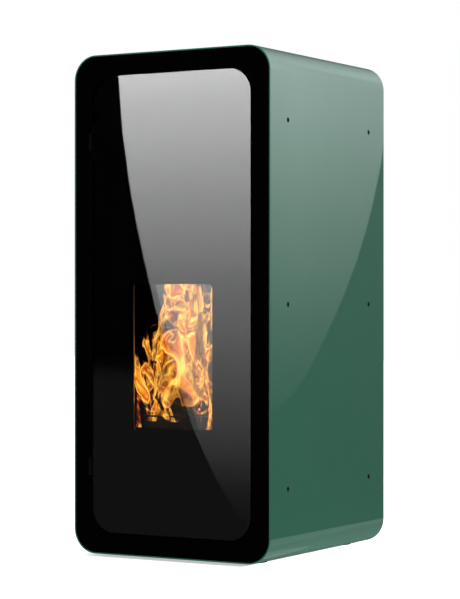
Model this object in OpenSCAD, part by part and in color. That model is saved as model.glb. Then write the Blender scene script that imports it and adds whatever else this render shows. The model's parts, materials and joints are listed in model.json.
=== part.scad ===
/* [Casing] */
// Width over the two side casings
casing_w = 520; // [510:2:540]
// Height of the casing, without the feet
casing_h = 1148; // [1140:2:1180]
// Depth of the casing, front rim to rear rim
casing_d = 560; // [556:2:600]
// Outside radius of the four long edges
corner_r = 57; // [52:1:60]
// Thickness of the casing sheet
sheet = 3; // [2.5:0.1:3.2]
// Height of the casing above the floor
feet_gap = 7; // [6:0.5:14]
// How far the spigots stand out behind the casing
rear_reach = 40; // [30:1:60]
// Half width of the top cover between the two returns
return_half = 141; // [138:1:150]
// Width of the lips that the top cover lies on
lip_w = 20; // [12:1:22]
// Clearance between fixed sheet pieces that fit together
fit = 0.3; // [0.2:0.05:0.4]

/* [Casing screws] */
// Distance of the screws from the front rim and from the rear rim
screw_inset = 81; // [76:1:86]
// Height of the lowest screws above the casing's bottom
screw_low = 163; // [140:1:180]
// Thread diameter of a casing screw
screw_d = 6; // [5:1:8]
// Diameter of the countersunk head
head_d = 11; // [10:0.5:12]
// Length of a casing screw
screw_l = 18; // [14:1:22]
// Side of the square posts behind the side panels
post = 30; // [26:1:32]
// Wall of the posts
post_wall = 3; // [2:0.5:4]

/* [Front] */
// Width of the black border round the glass
border = 50; // [48:1:60]
// How far the black frame stands behind the casing's rim
rim_step = 1; // [0.5:0.5:2]
// Gap all round between the glass and the frame
door_gap = 3; // [2.5:0.25:4]
// Thickness of the front glass
glass_t = 4; // [3:0.5:5]
// Corner radius of the front glass
glass_r = 55; // [50:1:60]
// Width of the fire window
window_w = 220; // [200:2:230]
// Height of the fire window
window_h = 330; // [300:2:340]
// Height of the fire window's sill above the casing's bottom
window_low = 290; // [284:1:300]
// Corner radius of the fire window
window_r = 10; // [6:1:16]
// Gap between the front glass and the mask, filled by the print's edge
mask_gap = 0.1; // [0.05:0.05:0.3]
// Thickness of the black mask behind the glass
mask_t = 0.9; // [0.6:0.1:1.5]
// Depth of the door's steel panel
panel_depth = 27; // [24:1:30]
// Sheet thickness of the door's steel panel
panel_t = 2; // [1.5:0.5:2.5]
// Depth of the frame's side walls
frame_depth = 64; // [60:1:64]

/* [Door hinges] */
// Radius of the hinge knuckles
knuckle_r = 4.5; // [4:0.25:4.5]
// Radius of the hinge pins
pin_r = 2.5; // [2:0.25:2.75]
// Radial clearance of a pin in a turning knuckle
running = 0.05; // [0.03:0.01:0.08]
// Length of the door's knuckle
knuckle_l = 40; // [30:2:60]
// Length of each fixed knuckle
ear_l = 20; // [14:1:30]
// Distance of the hinge axis from the glass's edge
axis_out = 9; // [8:0.5:10]
// Distance of each hinge's middle from the end of the glass
hinge_inset = 150; // [120:5:200]

/* [Fire glass and seal] */
// How far the fire glass overlaps the window on each side
fire_lap = 25; // [20:1:26]
// Thickness of the ceramic fire glass
fire_t = 4; // [3:0.5:5]
// Width of the retainer's rim round the fire glass
retainer_rim = 15; // [12:1:16]
// Diameter of the rope seal
seal_d = 9.7; // [9:0.1:11]
// Clearance between pieces of different bodies that meet
meet = 0.3; // [0.2:0.05:0.5]

/* [Boiler] */
// Width of the boiler
boiler_w = 350; // [346:2:356]
// Depth of the boiler
boiler_d = 250; // [244:2:256]
// Thickness of the water jacket
jacket = 30; // [28:1:32]
// Height of the firebox floor above the casing's bottom
firebox_low = 205; // [200:1:210]
// Height of the firebox
firebox_h = 478; // [470:2:490]
// Space between the boiler's top and the casing's top
boiler_headroom = 205; // [195:5:225]
// Radius of the fire tubes
tube_r = 24; // [20:0.5:26]
// Distance between fire tubes across the stove
tube_pitch_x = 96; // [80:2:98]
// Distance between the two rows of fire tubes
tube_pitch_y = 95; // [80:2:100]
// Corner radius of the boiler's upright edges
boiler_r = 12; // [6:1:12]
// Height of the smoke box on top of the boiler
smoke_h = 70; // [66:1:76]
// Sheet thickness of the smoke box, the duct and the chute
duct_t = 2; // [1.5:0.25:2.5]
// Thickness of the cleaning cover
cover_t = 6; // [4:0.5:8]

/* [Burner] */
// Side of the burner pot
pot_w = 104; // [96:2:110]
// Wall thickness of the burner pot
pot_t = 5; // [4:0.5:6]
// Height of the burner pot
pot_h = 60; // [54:1:66]
// Width of the pot's flange
pot_flange = 10; // [8:1:14]
// Height of the pot's flange above the firebox floor
cradle_h = 112; // [110:1:116]
// Thickness of the cradle's top plate
cradle_t = 3; // [3:0.5:4]
// Radius of the igniter cartridge
igniter_r = 6; // [5:0.5:7]
// Thickness of the fireproof back panel
liner_t = 15; // [12:1:18]

/* [Ash drawer] */
// Height of the ash drawer
drawer_h = 62; // [54:1:66]
// Clearance on each side of the ash drawer
drawer_side = 7; // [6:0.5:8]
// Sheet thickness of the ash drawer
drawer_t = 2; // [1.5:0.25:2.5]
// Thickness of the runner strips
runner_t = 2; // [1.5:0.25:3]

/* [Hopper and auger] */
// Wall thickness of the hopper
hopper_t = 2; // [1.5:0.25:2.5]
// Half width of the hopper's body
hopper_half = 185; // [176:1:190]
// Half width of the hopper's mouth
mouth_half = 105; // [98:1:106]
// Space between the boiler and the hopper
rear_space = 70; // [66:1:72]
// Outside radius of the auger tube
auger_r = 30; // [28:0.5:31]
// Wall thickness of the auger tube
auger_wall = 3; // [2:0.5:3]
// Pitch of the auger's flight
auger_pitch = 40; // [34:1:48]
// Slope of the auger above the horizontal, in degrees
auger_tilt = 60; // [59:0.5:61]
// Length of the auger below the chute
auger_low = 215; // [210:1:220]
// Length of the auger above the chute
auger_high = 35; // [33:1:40]
// Width of the square drop chute
chute_w = 60; // [54:1:60]
// Slope of the chute above the horizontal, in degrees
chute_tilt = 45; // [44:0.5:46]
// Length of the chute from the firebox wall to the auger's axis
chute_reach = 139; // [138:1:142]
// Height of the chute's mouth above the firebox floor
chute_high = 221; // [218:1:226]

/* [Lid] */
// Half width of the hopper lid
lid_half = 110; // [107:1:112]
// Depth of the hopper lid
lid_d = 154; // [150:1:156]
// Gap round the hopper lid
lid_gap = 2; // [1.5:0.25:2.5]

/* [Flue and water] */
// Radius of the flue spigot
flue_r = 40; // [38:0.5:42]
// Wall of the flue spigot
flue_wall = 2; // [1.5:0.25:3]
// How much narrower the flue and air pipes are inside the casing
pipe_step = 1; // [0.5:0.25:1.5]
// Height of the flue's axis above the casing's bottom
flue_high = 143; // [138:1:148]
// Radius of the air intake
air_r = 25; // [22:0.5:26]
// Radius of the water pipes
pipe_r = 11; // [9:0.5:12]
// Radius of the pipes' threaded ends
thread_r = 13.2; // [12.5:0.1:14]
// Radius of the elbow fittings
elbow_r = 16; // [15:0.5:18]
// Height of the water pipes above the casing's bottom
pipe_high = 73; // [68:1:76]
// Radius of the fan's impeller
fan_r = 58; // [52:1:60]
// Number of fan blades
blades = 12; // [8:1:16]

/* [Controls] */
// Half width of the display panel
display_half = 98; // [90:1:100]
// Depth of the display panel
display_d = 76; // [70:1:78]
// Radius of the press buttons
button_r = 8; // [7:0.25:8.5]
// Travel of a press button
press = 1.5; // [1:0.25:2]
// Distance between the buttons
button_pitch = 34; // [30:1:40]

/* [Hidden] */
$fn = 64;

green = [0.25, 0.40, 0.34];
black = [0.06, 0.06, 0.06];
steel = [0.60, 0.61, 0.62];
cast = [0.18, 0.18, 0.19];
brass = [0.78, 0.62, 0.32];
eps = 0.01;
over = 1;

front_y = -(casing_d + rear_reach) / 2;
back_y = front_y + casing_d;
end_y = back_y + rear_reach;
base_z = feet_gap;
top_z = base_z + casing_h;
half_w = casing_w / 2;
in_half = half_w - sheet;
inner_r = corner_r - sheet;
screw_pitch = casing_h / 2 - screw_low;

// Casing details
lip_weld = 10;
lip_front = 17;
lip_rear = 18;
nut_r = 6;
nut_l = 8;
thread_fit = 0.05;
tray_t = 3;
panel_rim = 12;
tray_rise = corner_r + sheet;
slot_w = casing_w - 280;
slot_h = 7;
slot_pitch = 18;
slot_rows = [base_z + casing_h / 2 - 54, base_z + casing_h / 2 + 306];
foot_pad_r = 22;
foot_pad_h = 6;
foot_stud_r = 5;
foot_stud_l = 34;
foot_x = 170;
foot_inset = 100;
foot_nut_r = 10;
foot_nut_h = 10;
stand_x = 140;
stand_flange = 22;
stand_inset = 30;

// Front stack, from the rim backwards
glass_w = casing_w - 2 * border;
glass_h = casing_h - 2 * border;
glass_low = base_z + border;
mask_y = front_y + glass_t + mask_gap;
panel_y = mask_y + mask_t;
seat_y = panel_y + panel_depth;
boiler_y = seat_y + seal_d + meet;
window_z = base_z + window_low;
window_mid = window_z + window_h / 2;
frame_y = front_y + rim_step;
frame_back = front_y + frame_depth + rim_step;
mask_inset = 2;
panel_inset = 4;
rear_lip = 14;
panel_back = seat_y - panel_t;

// Door hinges
axis_x = -glass_w / 2 - axis_out;
axis_y = front_y + knuckle_r;
hinge_zs = [glass_low + hinge_inset, glass_low + glass_h - hinge_inset];
hinge_gap = 0.4;
leaf_t = 3.5;
magnet_t = 8;
catch_t = 2;
catch_half = 22;
catch_inset = 250;
ear_shift = (knuckle_l + ear_l) / 2 + hinge_gap;
ear_reach = knuckle_l / 2 + hinge_gap + ear_l;

// Fire side of the door
fire_w = window_w + 2 * fire_lap;
fire_h = window_h + 2 * fire_lap;
tunnel_lap = 8;
retainer_w = fire_w + 2 * retainer_rim;
retainer_h = fire_h + 2 * retainer_rim;

// Boiler
boiler_back = boiler_y + boiler_d;
fire_floor = base_z + firebox_low;
boiler_low = fire_floor - jacket;
fire_top = fire_floor + firebox_h;
crown_h = casing_h - boiler_headroom - firebox_low - firebox_h;
boiler_top = fire_top + crown_h;
valve_y = boiler_y + 73;
valve_z = boiler_top - 70;
vent_y = boiler_back - 60;
vent_z = boiler_top - 50;
boss_l = 8;
cavity_half = boiler_w / 2 - jacket;
cavity_back = boiler_back - jacket;
cavity_d = boiler_d - jacket;
rows_mid = boiler_y + cavity_d / 2 + 0.5;
tube_xs = [-tube_pitch_x, 0, tube_pitch_x];
tube_ys = [rows_mid - tube_pitch_y / 2, rows_mid + tube_pitch_y / 2];
seal_half = retainer_w / 2 + seal_d / 2 + 3;
seal_low = fire_floor - 13;
seal_high = fire_top + 13;
seal_bend = 30;
ledge = 8;
cradle_top = fire_floor + cradle_h;
liner_y = cavity_back - liner_t;

// Burner pot
pot_y = boiler_y + 138;
pot_rim = cradle_top + 28;
pot_low = pot_rim - pot_h;
pot_r = 14;
pot_hole_r = 4;
pot_hole_pitch = 26;
pot_clear = 1.5;
plenum_h = 40;
plenum_left = 140;
plenum_right = 75;
plenum_front = 70;
igniter_x = 30;
igniter_z = cradle_top - 19;

// Ash drawer
drawer_half = cavity_half - drawer_side;
drawer_low = fire_floor + runner_t;
drawer_front = boiler_y + 12;
drawer_back = cavity_back - 12;

// Chute and auger, in the plane x = 0
chute_z = fire_floor + chute_high;
meet_y = cavity_back + chute_reach * cos(chute_tilt);
meet_z = chute_z + chute_reach * sin(chute_tilt);
auger_y = meet_y + auger_low * cos(auger_tilt);
auger_z = meet_z - auger_low * sin(auger_tilt);
auger_l = auger_low + auger_high;
flight_r = auger_r - auger_wall - 2;
shaft_r = 8;
collar_half = 37;
collar_t = 3;
collar_y = auger_y - 3;
collar_top = auger_z + 135;

// Hopper
hopper_front = boiler_back + rear_space;
hopper_back = back_y - sheet - 7;
hopper_brim = top_z - sheet - meet;
neck_low = top_z - 45;
shoulder_z = neck_low - 60;
slope_front_z = collar_top + 160;
slope_rear_z = collar_top + 80;
grille_z = neck_low + 12;
grille_r = 2;
grille_pitch = 26;

// Lid
lid_back = back_y - 31;
lid_front = lid_back - lid_d;
lid_axis_y = lid_back + axis_out;
lid_axis_z = top_z - knuckle_r;
lid_hinge_xs = [-70, 70];
neck_front = lid_front + 7;
neck_back = lid_back - 7;
finger_r = 16;

// Smoke path
smoke_half = boiler_w / 2 - 10;
smoke_front = boiler_y + 8;
smoke_top = boiler_top + smoke_h;
smoke_ledge = 40;
stud_r = 4;
stud_root = 30;
stud_l = cover_t + 16;
stud_xs = [-smoke_half + 26, smoke_half - 26];
duct_w = 70;
duct_d = 50;
duct_x = smoke_half - duct_w;
fan_x = duct_x + duct_w / 2;
fan_z = base_z + flue_high + 55;
fan_y = boiler_back + duct_d;
duct_low = fan_z - 60;
housing_d = 50;
housing_t = 2;
volute_r = fan_r + 8;
volute_grow = 14;
outlet_h = 50;
flue_z = base_z + flue_high;
flue_x = 0;
socket_half = 24;
outlet_x = flue_x + flue_r + 12;
step_out = 2;
air_wall = 2;
air_x = -105;
air_z = cradle_top - 17;

// Motors
fan_plate_r = 36;
fan_plate_t = 6;
fan_can_r = 30;
fan_can_l = 46;
fan_cap_r = 22;
gear_w = 68;
gear_h = 56;
gear_l = 40;
gear_low = 30;
motor_r = 26;
motor_l = 60;

// Water side
volute_pump_r = 38;
volute_front = 20;
volute_l = 34;
stator_r = 34;
stator_l = 40;
port_r = 16;
union_r = 21;
union_l = 16;
drive_w = 56;
drive_d = 28;
drive_h = 68;
port_half = 65;
pump_x = -150;
pump_y = boiler_back + 138;
pump_z = base_z + pipe_high + port_half + 20;
water_z = base_z + pipe_high;
flow_x = -60;
flow_y = boiler_back + 35;
flow_top = boiler_top - 50;
return_in_z = pump_z + port_half + 20;
vessel_r = 130;
vessel_gap = 5;
vessel_t = in_half - boiler_w / 2 - 2 * vessel_gap;
vessel_y = boiler_y + 205;
vessel_z = boiler_top - 170;

// Scraper
rod_r = 6;
knob_r = 16;
knob_top = top_z - 2;
access_r = 28;
yoke_t = 6;
yoke_z = boiler_top + 6;
strip_w = 40;
strip_t = 2.5;
strip_l = crown_h - 28;
strip_rest = 8;

// Controls
display_y = front_y + 19;
face_z = top_z - press - 0.3;
display_low = top_z - 30;
flange_t = 3;
button_y = display_y + 20;
box_low = 553;
box_h = 260;
box_gap = 2;
box_d = in_half - post - hopper_half - box_gap;
box_front = 90;
box_rear = 80;
box_rim = 30;

// Rear connections
inlet_x = half_w - 110;
inlet_z = base_z + 413;
inlet_w = 48;
inlet_h = 28;
switch_w = 14;
switch_h = 21;
switch_x = inlet_x + 45;
rocker_tilt = 9;
therm_x = -inlet_x;
therm_z = base_z + 413;

// Round-cornered outline, centred on x and standing on the axis
module outline(w, h, r) {
    translate([-w / 2 + r, 0]) square([w - 2 * r, h]);
    translate([-w / 2, r]) square([w, h - 2 * r]);
    for (sx = [-1, 1], z = [r, h - r])
        translate([sx * (w / 2 - r), z]) circle(r);
}

// Outline drawn in x and z, as a plate from y = 0 back to y = t
module upright(t) {
    translate([0, t, 0]) rotate([90, 0, 0]) linear_extrude(t) children();
}

// Outline drawn in y and z, as a plate from x = 0 to x = t
module sideways(t) {
    rotate([90, 0, 90]) linear_extrude(t) children();
}

// Box between two opposite corners
module block(a, b) {
    translate(a) cube(b - a);
}

// Cylinder along x
module rod_x(r, l) {
    rotate([0, 90, 0]) cylinder(r = r, h = l);
}

// Cylinder along y
module rod_y(r, l) {
    rotate([-90, 0, 0]) cylinder(r = r, h = l);
}

// Places children at the six screw positions of the right-hand side
module at_screws() {
    for (y = [front_y + screw_inset, back_y - screw_inset], k = [0:2])
        translate([half_w, y, base_z + screw_low + k * screw_pitch]) children();
}

// Places children at the four feet
module at_feet() {
    for (x = [-foot_x, foot_x], y = [front_y + foot_inset, back_y - foot_inset / 2])
        translate([x, y, 0]) children();
}

// Right-hand casing: side, both bends and the two returns
module casing_half() {
    difference() {
        union() {
            translate([0, front_y, 0]) upright(casing_d) intersection() {
                difference() {
                    translate([0, base_z]) outline(casing_w, casing_h, corner_r);
                    translate([0, base_z + sheet])
                        outline(casing_w - 2 * sheet, casing_h - 2 * sheet, inner_r);
                }
                union() {
                    translate([return_half, base_z]) square([half_w - return_half, casing_h]);
                    translate([fit / 2, base_z]) square([half_w, corner_r]);
                }
            }
            block([return_half - lip_w, front_y + lip_front, top_z - 2 * sheet],
                [return_half + lip_weld, back_y - lip_rear, top_z - sheet]);
            block([return_half + over, front_y + lip_front, top_z - 2 * sheet],
                [return_half + lip_weld - over, back_y - lip_rear, top_z - sheet / 2]);
        }
        at_screws() {
            translate([-sheet - over, 0, 0]) rod_x(screw_d / 2 + fit, sheet + 2 * over);
            rotate([0, -90, 0]) cylinder(r1 = head_d / 2 + fit / 3, r2 = screw_d / 2, h = sheet);
        }
        at_feet() translate([0, 0, base_z - over]) cylinder(r = foot_stud_r + 2, h = sheet + 2 * over);
    }
}

module right_casing() {
    color(green) casing_half();
}

module left_casing() {
    color(green) mirror([1, 0, 0]) casing_half();
}

module top_cover() {
    color(green) difference() {
        union() {
            block([-return_half + fit, front_y, top_z - sheet], [return_half - fit, back_y, top_z]);
            for (sx = [-1, 1])
                translate([sx * (return_half - lip_w - 4), 0, 0])
                    block([-1, lid_front - 200, top_z - sheet - 10], [1, lid_front - 20, top_z - sheet]);
            for (x = lid_hinge_xs, s = [-1, 1])
                translate([x + s * ear_shift, lid_axis_y, lid_axis_z]) {
                    translate([-ear_l / 2, 0, 0]) rod_x(knuckle_r, ear_l);
                    translate([-ear_l / 2, 0, knuckle_r - sheet]) cube([ear_l, knuckle_r + 4, sheet]);
                }
        }
        lid_well();
        for (x = lid_hinge_xs)
            translate([x - knuckle_l / 2 - hinge_gap, lid_back, top_z - 2 * knuckle_r - over])
                cube([knuckle_l + 2 * hinge_gap, axis_out + knuckle_r + 1.5, 2 * knuckle_r + 2 * over]);
        for (x = lid_hinge_xs)
            translate([x - ear_reach - over, lid_axis_y, lid_axis_z])
                rod_x(pin_r + running, 2 * (ear_reach + over));
        translate([0, rows_mid, top_z - sheet - over]) cylinder(r = access_r, h = sheet + 2 * over);
        block([-display_half - fit, display_y - fit, top_z - sheet - over],
            [display_half + fit, display_y + display_d + fit, top_z + over]);
        for (k = [0:6])
            translate([0, rows_mid + 62 + k * 16, top_z - sheet - over]) linear_extrude(sheet + 2 * over)
                outline(150, 6, 3 - eps);
    }
}

// The lid's opening in the top cover, with a finger notch at its front edge
module lid_well() {
    z = top_z - sheet - over;
    block([-lid_half - lid_gap, lid_front - lid_gap, z],
        [lid_half + lid_gap, lid_back + lid_gap, top_z + over]);
    translate([0, lid_front - lid_gap, z]) cylinder(r = finger_r, h = sheet + 2 * over);
}

module base_tray() {
    y0 = frame_back;
    y1 = back_y - sheet - panel_rim - fit;
    floor_z = base_z + sheet;
    edge = in_half - inner_r - 3;
    ledge_z = base_z + tray_rise;
    color(black) difference() {
        union() {
            block([-edge, y0, floor_z], [edge, y1, floor_z + tray_t]);
            for (sx = [-1, 1]) scale([sx, 1, 1]) {
                block([edge - tray_t, y0, floor_z], [edge, y1, ledge_z + tray_t]);
                block([edge - tray_t, y0, ledge_z], [in_half - fit, y1, ledge_z + tray_t]);
                block([stand_x, boiler_y + stand_inset, floor_z],
                    [stand_x + tray_t, boiler_back - stand_inset, boiler_low]);
                block([stand_x - stand_flange, boiler_y + stand_inset, boiler_low - tray_t],
                    [stand_x + tray_t, boiler_back - stand_inset, boiler_low]);
            }
            at_feet() translate([0, 0, floor_z]) cylinder(r = foot_nut_r, h = tray_t + foot_nut_h);
        }
        at_feet() cylinder(r = foot_stud_r + thread_fit, h = foot_stud_l * 2);
    }
}

module rear_panel() {
    y0 = back_y - sheet;
    w = casing_w - 2 * sheet - 2 * fit;
    h = casing_h - 2 * sheet - 2 * fit;
    color(black) difference() {
        union() {
            translate([0, y0, base_z + sheet + fit]) upright(sheet) outline(w, h, inner_r);
            translate([0, y0 - panel_rim, base_z + sheet + fit]) upright(panel_rim) difference() {
                outline(w, h, inner_r);
                translate([0, 2]) outline(w - 4, h - 4, inner_r - 2);
            }
        }
        translate([flue_x, y0 - over, flue_z]) rod_y(flue_r + 1.5, sheet + 2 * over);
        translate([air_x, y0 - over, air_z]) rod_y(air_r + 1.5, sheet + 2 * over);
        for (x = [flow_x, pump_x])
            translate([x, y0 - over, water_z]) rod_y(thread_r + 1.5, sheet + 2 * over);
        translate([therm_x, y0 - over, therm_z]) rod_y(7 + fit, sheet + 2 * over);
        translate([inlet_x - inlet_w / 2 - fit, y0 - over, inlet_z - inlet_h / 2 - fit])
            cube([inlet_w + 2 * fit, sheet + 2 * over, inlet_h + 2 * fit]);
        translate([switch_x - switch_w / 2 - fit - 2, y0 - over, inlet_z - switch_h / 2 - fit - 2])
            cube([switch_w + 2 * fit + 4, sheet + 2 * over, switch_h + 2 * fit + 4]);
        for (z = slot_rows, k = [0:7])
            translate([0, y0 - over, z + k * slot_pitch]) upright(sheet + 2 * over)
                outline(slot_w, slot_h, slot_h / 2 - eps);
    }
}

module front_frame() {
    w = casing_w - 2 * sheet - 2 * fit;
    h = casing_h - 2 * sheet - 2 * fit;
    low = base_z + sheet + fit;
    mouth_w = glass_w + 2 * door_gap;
    mouth_h = glass_h + 2 * door_gap;
    mouth_z = glass_low - door_gap;
    mouth_r = glass_r + door_gap;
    color(black) difference() {
        union() {
            translate([0, frame_y, 0]) upright(sheet) difference() {
                translate([0, low]) outline(w, h, inner_r);
                translate([0, mouth_z]) outline(mouth_w, mouth_h, mouth_r);
            }
            difference() {
                translate([0, frame_y, 0]) upright(frame_depth) difference() {
                    translate([0, low]) outline(w, h, inner_r);
                    translate([0, low + 2]) outline(w - 4, h - 4, inner_r - 2);
                }
                block([-half_w + corner_r, frame_y + 15, 0], [half_w - corner_r, frame_back + over, top_z]);
            }
            translate([0, frame_y, 0]) upright(14) difference() {
                translate([0, mouth_z - 2]) outline(mouth_w + 4, mouth_h + 4, mouth_r + 2);
                translate([0, mouth_z]) outline(mouth_w, mouth_h, mouth_r);
            }
        }
        for (z = hinge_zs)
            block([axis_x - knuckle_r - 1.5, frame_y - over, z - knuckle_l / 2 - ear_l - 1],
                [axis_x + axis_out, frame_y + 14 + over, z + knuckle_l / 2 + ear_l + 1]);
    }
}

// Channel post that the side panel is screwed to
module side_post(y) {
    z0 = base_z + tray_rise + tray_t;
    z1 = top_z - corner_r;
    difference() {
        union() {
            difference() {
                block([in_half - post, y - post / 2, z0], [in_half, y + post / 2, z1]);
                block([in_half - post - over, y - post / 2 + post_wall, z0 - over],
                    [in_half - post_wall, y + post / 2 - post_wall, z1 + over]);
            }
            for (k = [0:2])
                translate([in_half - post_wall - nut_l, y, base_z + screw_low + k * screw_pitch])
                    rod_x(nut_r, nut_l + eps);
        }
        at_screws() translate([-screw_l - over, 0, 0]) rod_x(screw_d / 2 + thread_fit, screw_l + over);
    }
}

module front_posts() {
    color(steel) for (sx = [0, 1]) mirror([sx, 0, 0]) side_post(front_y + screw_inset);
}

module rear_posts() {
    color(steel) for (sx = [0, 1]) mirror([sx, 0, 0]) side_post(back_y - screw_inset);
}

module casing_screws() {
    color(black) for (sx = [0, 1]) mirror([sx, 0, 0]) at_screws() rotate([0, -90, 0]) difference() {
        union() {
            cylinder(r1 = head_d / 2, r2 = screw_d / 2, h = sheet - fit / 3);
            cylinder(r = screw_d / 2, h = screw_l);
        }
        translate([0, 0, -over]) cylinder(r = 2, h = over + 2, $fn = 6);
    }
}

module levelling_feet() {
    color(black) at_feet() {
        cylinder(r = foot_pad_r, h = foot_pad_h / 2);
        translate([0, 0, foot_pad_h / 2]) cylinder(r1 = foot_pad_r, r2 = foot_pad_r - 8, h = foot_pad_h / 2);
        cylinder(r = foot_stud_r, h = foot_pad_h + foot_stud_l);
    }
}

module hinge_brackets() {
    color(black) for (z = hinge_zs, s = [-1, 1])
        translate([axis_x, axis_y, z + s * ear_shift - ear_l / 2]) difference() {
            union() {
                cylinder(r = knuckle_r, h = ear_l);
                block([-20, frame_y + sheet - axis_y, 0], [0, frame_y + sheet + leaf_t - axis_y, ear_l]);
            }
            translate([0, 0, -over]) cylinder(r = pin_r + running, h = ear_l + 2 * over);
        }
}

module hinge_pins() {
    color(steel) for (z = hinge_zs)
        translate([axis_x, axis_y, z - ear_reach]) cylinder(r = pin_r, h = 2 * ear_reach);
}

module door_catch() {
    x0 = glass_w / 2 - panel_inset - rear_lip;
    x1 = glass_w / 2 + door_gap + 2;
    y0 = panel_back + meet;
    y1 = y0 + magnet_t;
    color(steel) for (z = [glass_low + catch_inset, glass_low + glass_h - catch_inset]) {
        block([x0, y0, z - catch_half], [x0 + rear_lip - 2, y1, z + catch_half]);
        block([x0, y1, z - catch_half], [x1 + catch_t, y1 + catch_t, z + catch_half]);
        block([x1, frame_y + sheet, z - catch_half], [x1 + catch_t, y1 + catch_t, z + catch_half]);
    }
}

module door_glass() {
    color([0.12, 0.12, 0.13, 0.6]) translate([0, front_y, glass_low]) upright(glass_t)
        outline(glass_w, glass_h, glass_r);
}

module glass_mask() {
    inset = mask_inset;
    color(black) translate([0, mask_y, 0]) upright(mask_t) difference() {
        translate([0, glass_low + inset]) outline(glass_w - 2 * inset, glass_h - 2 * inset, glass_r - inset);
        translate([0, window_z]) outline(window_w, window_h, window_r);
    }
}

module door_panel() {
    w = glass_w - 2 * panel_inset;
    h = glass_h - 2 * panel_inset;
    low = glass_low + panel_inset;
    r = glass_r - panel_inset;
    tw = window_w + 2 * tunnel_lap;
    th = window_h + 2 * tunnel_lap;
    tz = window_z - tunnel_lap;
    tr = window_r + tunnel_lap;
    carrier_w = 2 * seal_half + seal_d + 6;
    carrier_low = seal_low - seal_d / 2 - 3;
    carrier_h = seal_high - seal_low + seal_d + 6;
    color(black) difference() {
        union() {
            translate([0, panel_y, 0]) upright(panel_t) difference() {
                translate([0, low]) outline(w, h, r);
                translate([0, tz]) outline(tw, th, tr);
            }
            translate([0, panel_y, 0]) upright(panel_back - panel_y) difference() {
                translate([0, low]) outline(w, h, r);
                translate([0, low + panel_t]) outline(w - 2 * panel_t, h - 2 * panel_t, r - panel_t);
            }
            translate([0, panel_back - panel_t, 0]) upright(panel_t) difference() {
                translate([0, low]) outline(w, h, r);
                translate([0, low + rear_lip]) outline(w - 2 * rear_lip, h - 2 * rear_lip, r - rear_lip);
            }
            translate([0, panel_y, 0]) upright(panel_depth) difference() {
                translate([0, tz - panel_t]) outline(tw + 2 * panel_t, th + 2 * panel_t, tr + panel_t);
                translate([0, tz]) outline(tw, th, tr);
            }
            translate([0, seat_y - panel_t, 0]) upright(panel_t) difference() {
                translate([0, carrier_low]) outline(carrier_w, carrier_h, seal_bend);
                translate([0, tz]) outline(tw, th, tr);
            }
            for (z = [fire_top + 110, fire_top + crown_h])
                block([-w / 2 + panel_t, panel_y + panel_t, z],
                    [w / 2 - panel_t, panel_back - panel_t - 6, z + 3]);
            for (z = hinge_zs) translate([axis_x, axis_y, z - knuckle_l / 2]) {
                cylinder(r = knuckle_r, h = knuckle_l);
                block([0, panel_y - axis_y, 0], [axis_out + 24, panel_y + leaf_t - axis_y, knuckle_l]);
            }
        }
        for (z = hinge_zs)
            translate([axis_x, axis_y, z - knuckle_l]) cylinder(r = pin_r + running, h = 2 * knuckle_l);
    }
}

module fire_glass() {
    color([0.85, 0.7, 0.5, 0.4]) translate([0, seat_y, window_mid - fire_h / 2]) upright(fire_t)
        outline(fire_w, fire_h, window_r + 4);
}

module glass_retainer() {
    r = window_r + 4;
    color(steel) difference() {
        translate([0, seat_y, window_mid - retainer_h / 2]) upright(fire_t + 3)
            outline(retainer_w, retainer_h, r + 6);
        translate([0, seat_y - over, window_mid - fire_h / 2 - fit]) upright(fire_t + over)
            outline(fire_w + 2 * fit, fire_h + 2 * fit, r);
        translate([0, seat_y - over, window_mid - window_h / 2 - tunnel_lap]) upright(fire_t + 3 + 2 * over)
            outline(window_w + 2 * tunnel_lap, window_h + 2 * tunnel_lap, r);
    }
}

// Rope ring: four straight runs and four round corners
module door_seal() {
    r = seal_d / 2;
    w = 2 * seal_half;
    h = seal_high - seal_low;
    b = seal_bend;
    color([0.55, 0.53, 0.5]) translate([0, seat_y + r, seal_low]) {
        for (sx = [-1, 1]) translate([sx * w / 2, 0, b]) cylinder(r = r, h = h - 2 * b);
        for (z = [0, h]) translate([-w / 2 + b, 0, z]) rod_x(r, w - 2 * b);
        for (sx = [0, 1], sz = [0, 1])
            mirror([sx, 0, 0]) translate([w / 2 - b, 0, sz == 0 ? b : h - b]) mirror([0, 0, 1 - sz])
                rotate([90, 0, 0]) rotate_extrude(angle = 90) translate([b, 0]) circle(r);
    }
}

// Sloping square passage of the chute, drawn in the chute's own frame
module chute_bar(half, from, to) {
    translate([0, cavity_back, chute_z]) rotate([chute_tilt - 90, 0, 0])
        translate([-half, -half, from]) cube([2 * half, 2 * half, to - from]);
}

module boiler_body() {
    color(cast) difference() {
        union() {
            translate([0, boiler_y, boiler_low]) linear_extrude(boiler_top - boiler_low)
                outline(boiler_w, boiler_d, boiler_r);
            translate([boiler_w / 2, valve_y, valve_z]) rod_x(14, boss_l);
            translate([boiler_w / 2, vent_y, vent_z]) rod_x(12, boss_l);
        }
        difference() {
            block([-cavity_half, boiler_y - over, fire_floor], [cavity_half, cavity_back, fire_top]);
            for (sx = [-1, 1]) scale([sx, 1, 1])
                block([cavity_half - ledge, boiler_y + 40, cradle_top - cradle_t - ledge],
                    [cavity_half + over, cavity_back, cradle_top - cradle_t]);
        }
        for (x = tube_xs, y = tube_ys)
            translate([x, y, fire_top - over]) cylinder(r = tube_r, h = crown_h + 2 * over);
        chute_bar(chute_w / 2 + fit, -chute_w, jacket * 3);
        translate([air_x, cavity_back - over, air_z]) rod_y(air_r - pipe_step + fit, jacket + 2 * over);
        translate([igniter_x, cavity_back - over, igniter_z]) rod_y(igniter_r + fit, jacket + 2 * over);
    }
}

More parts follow.
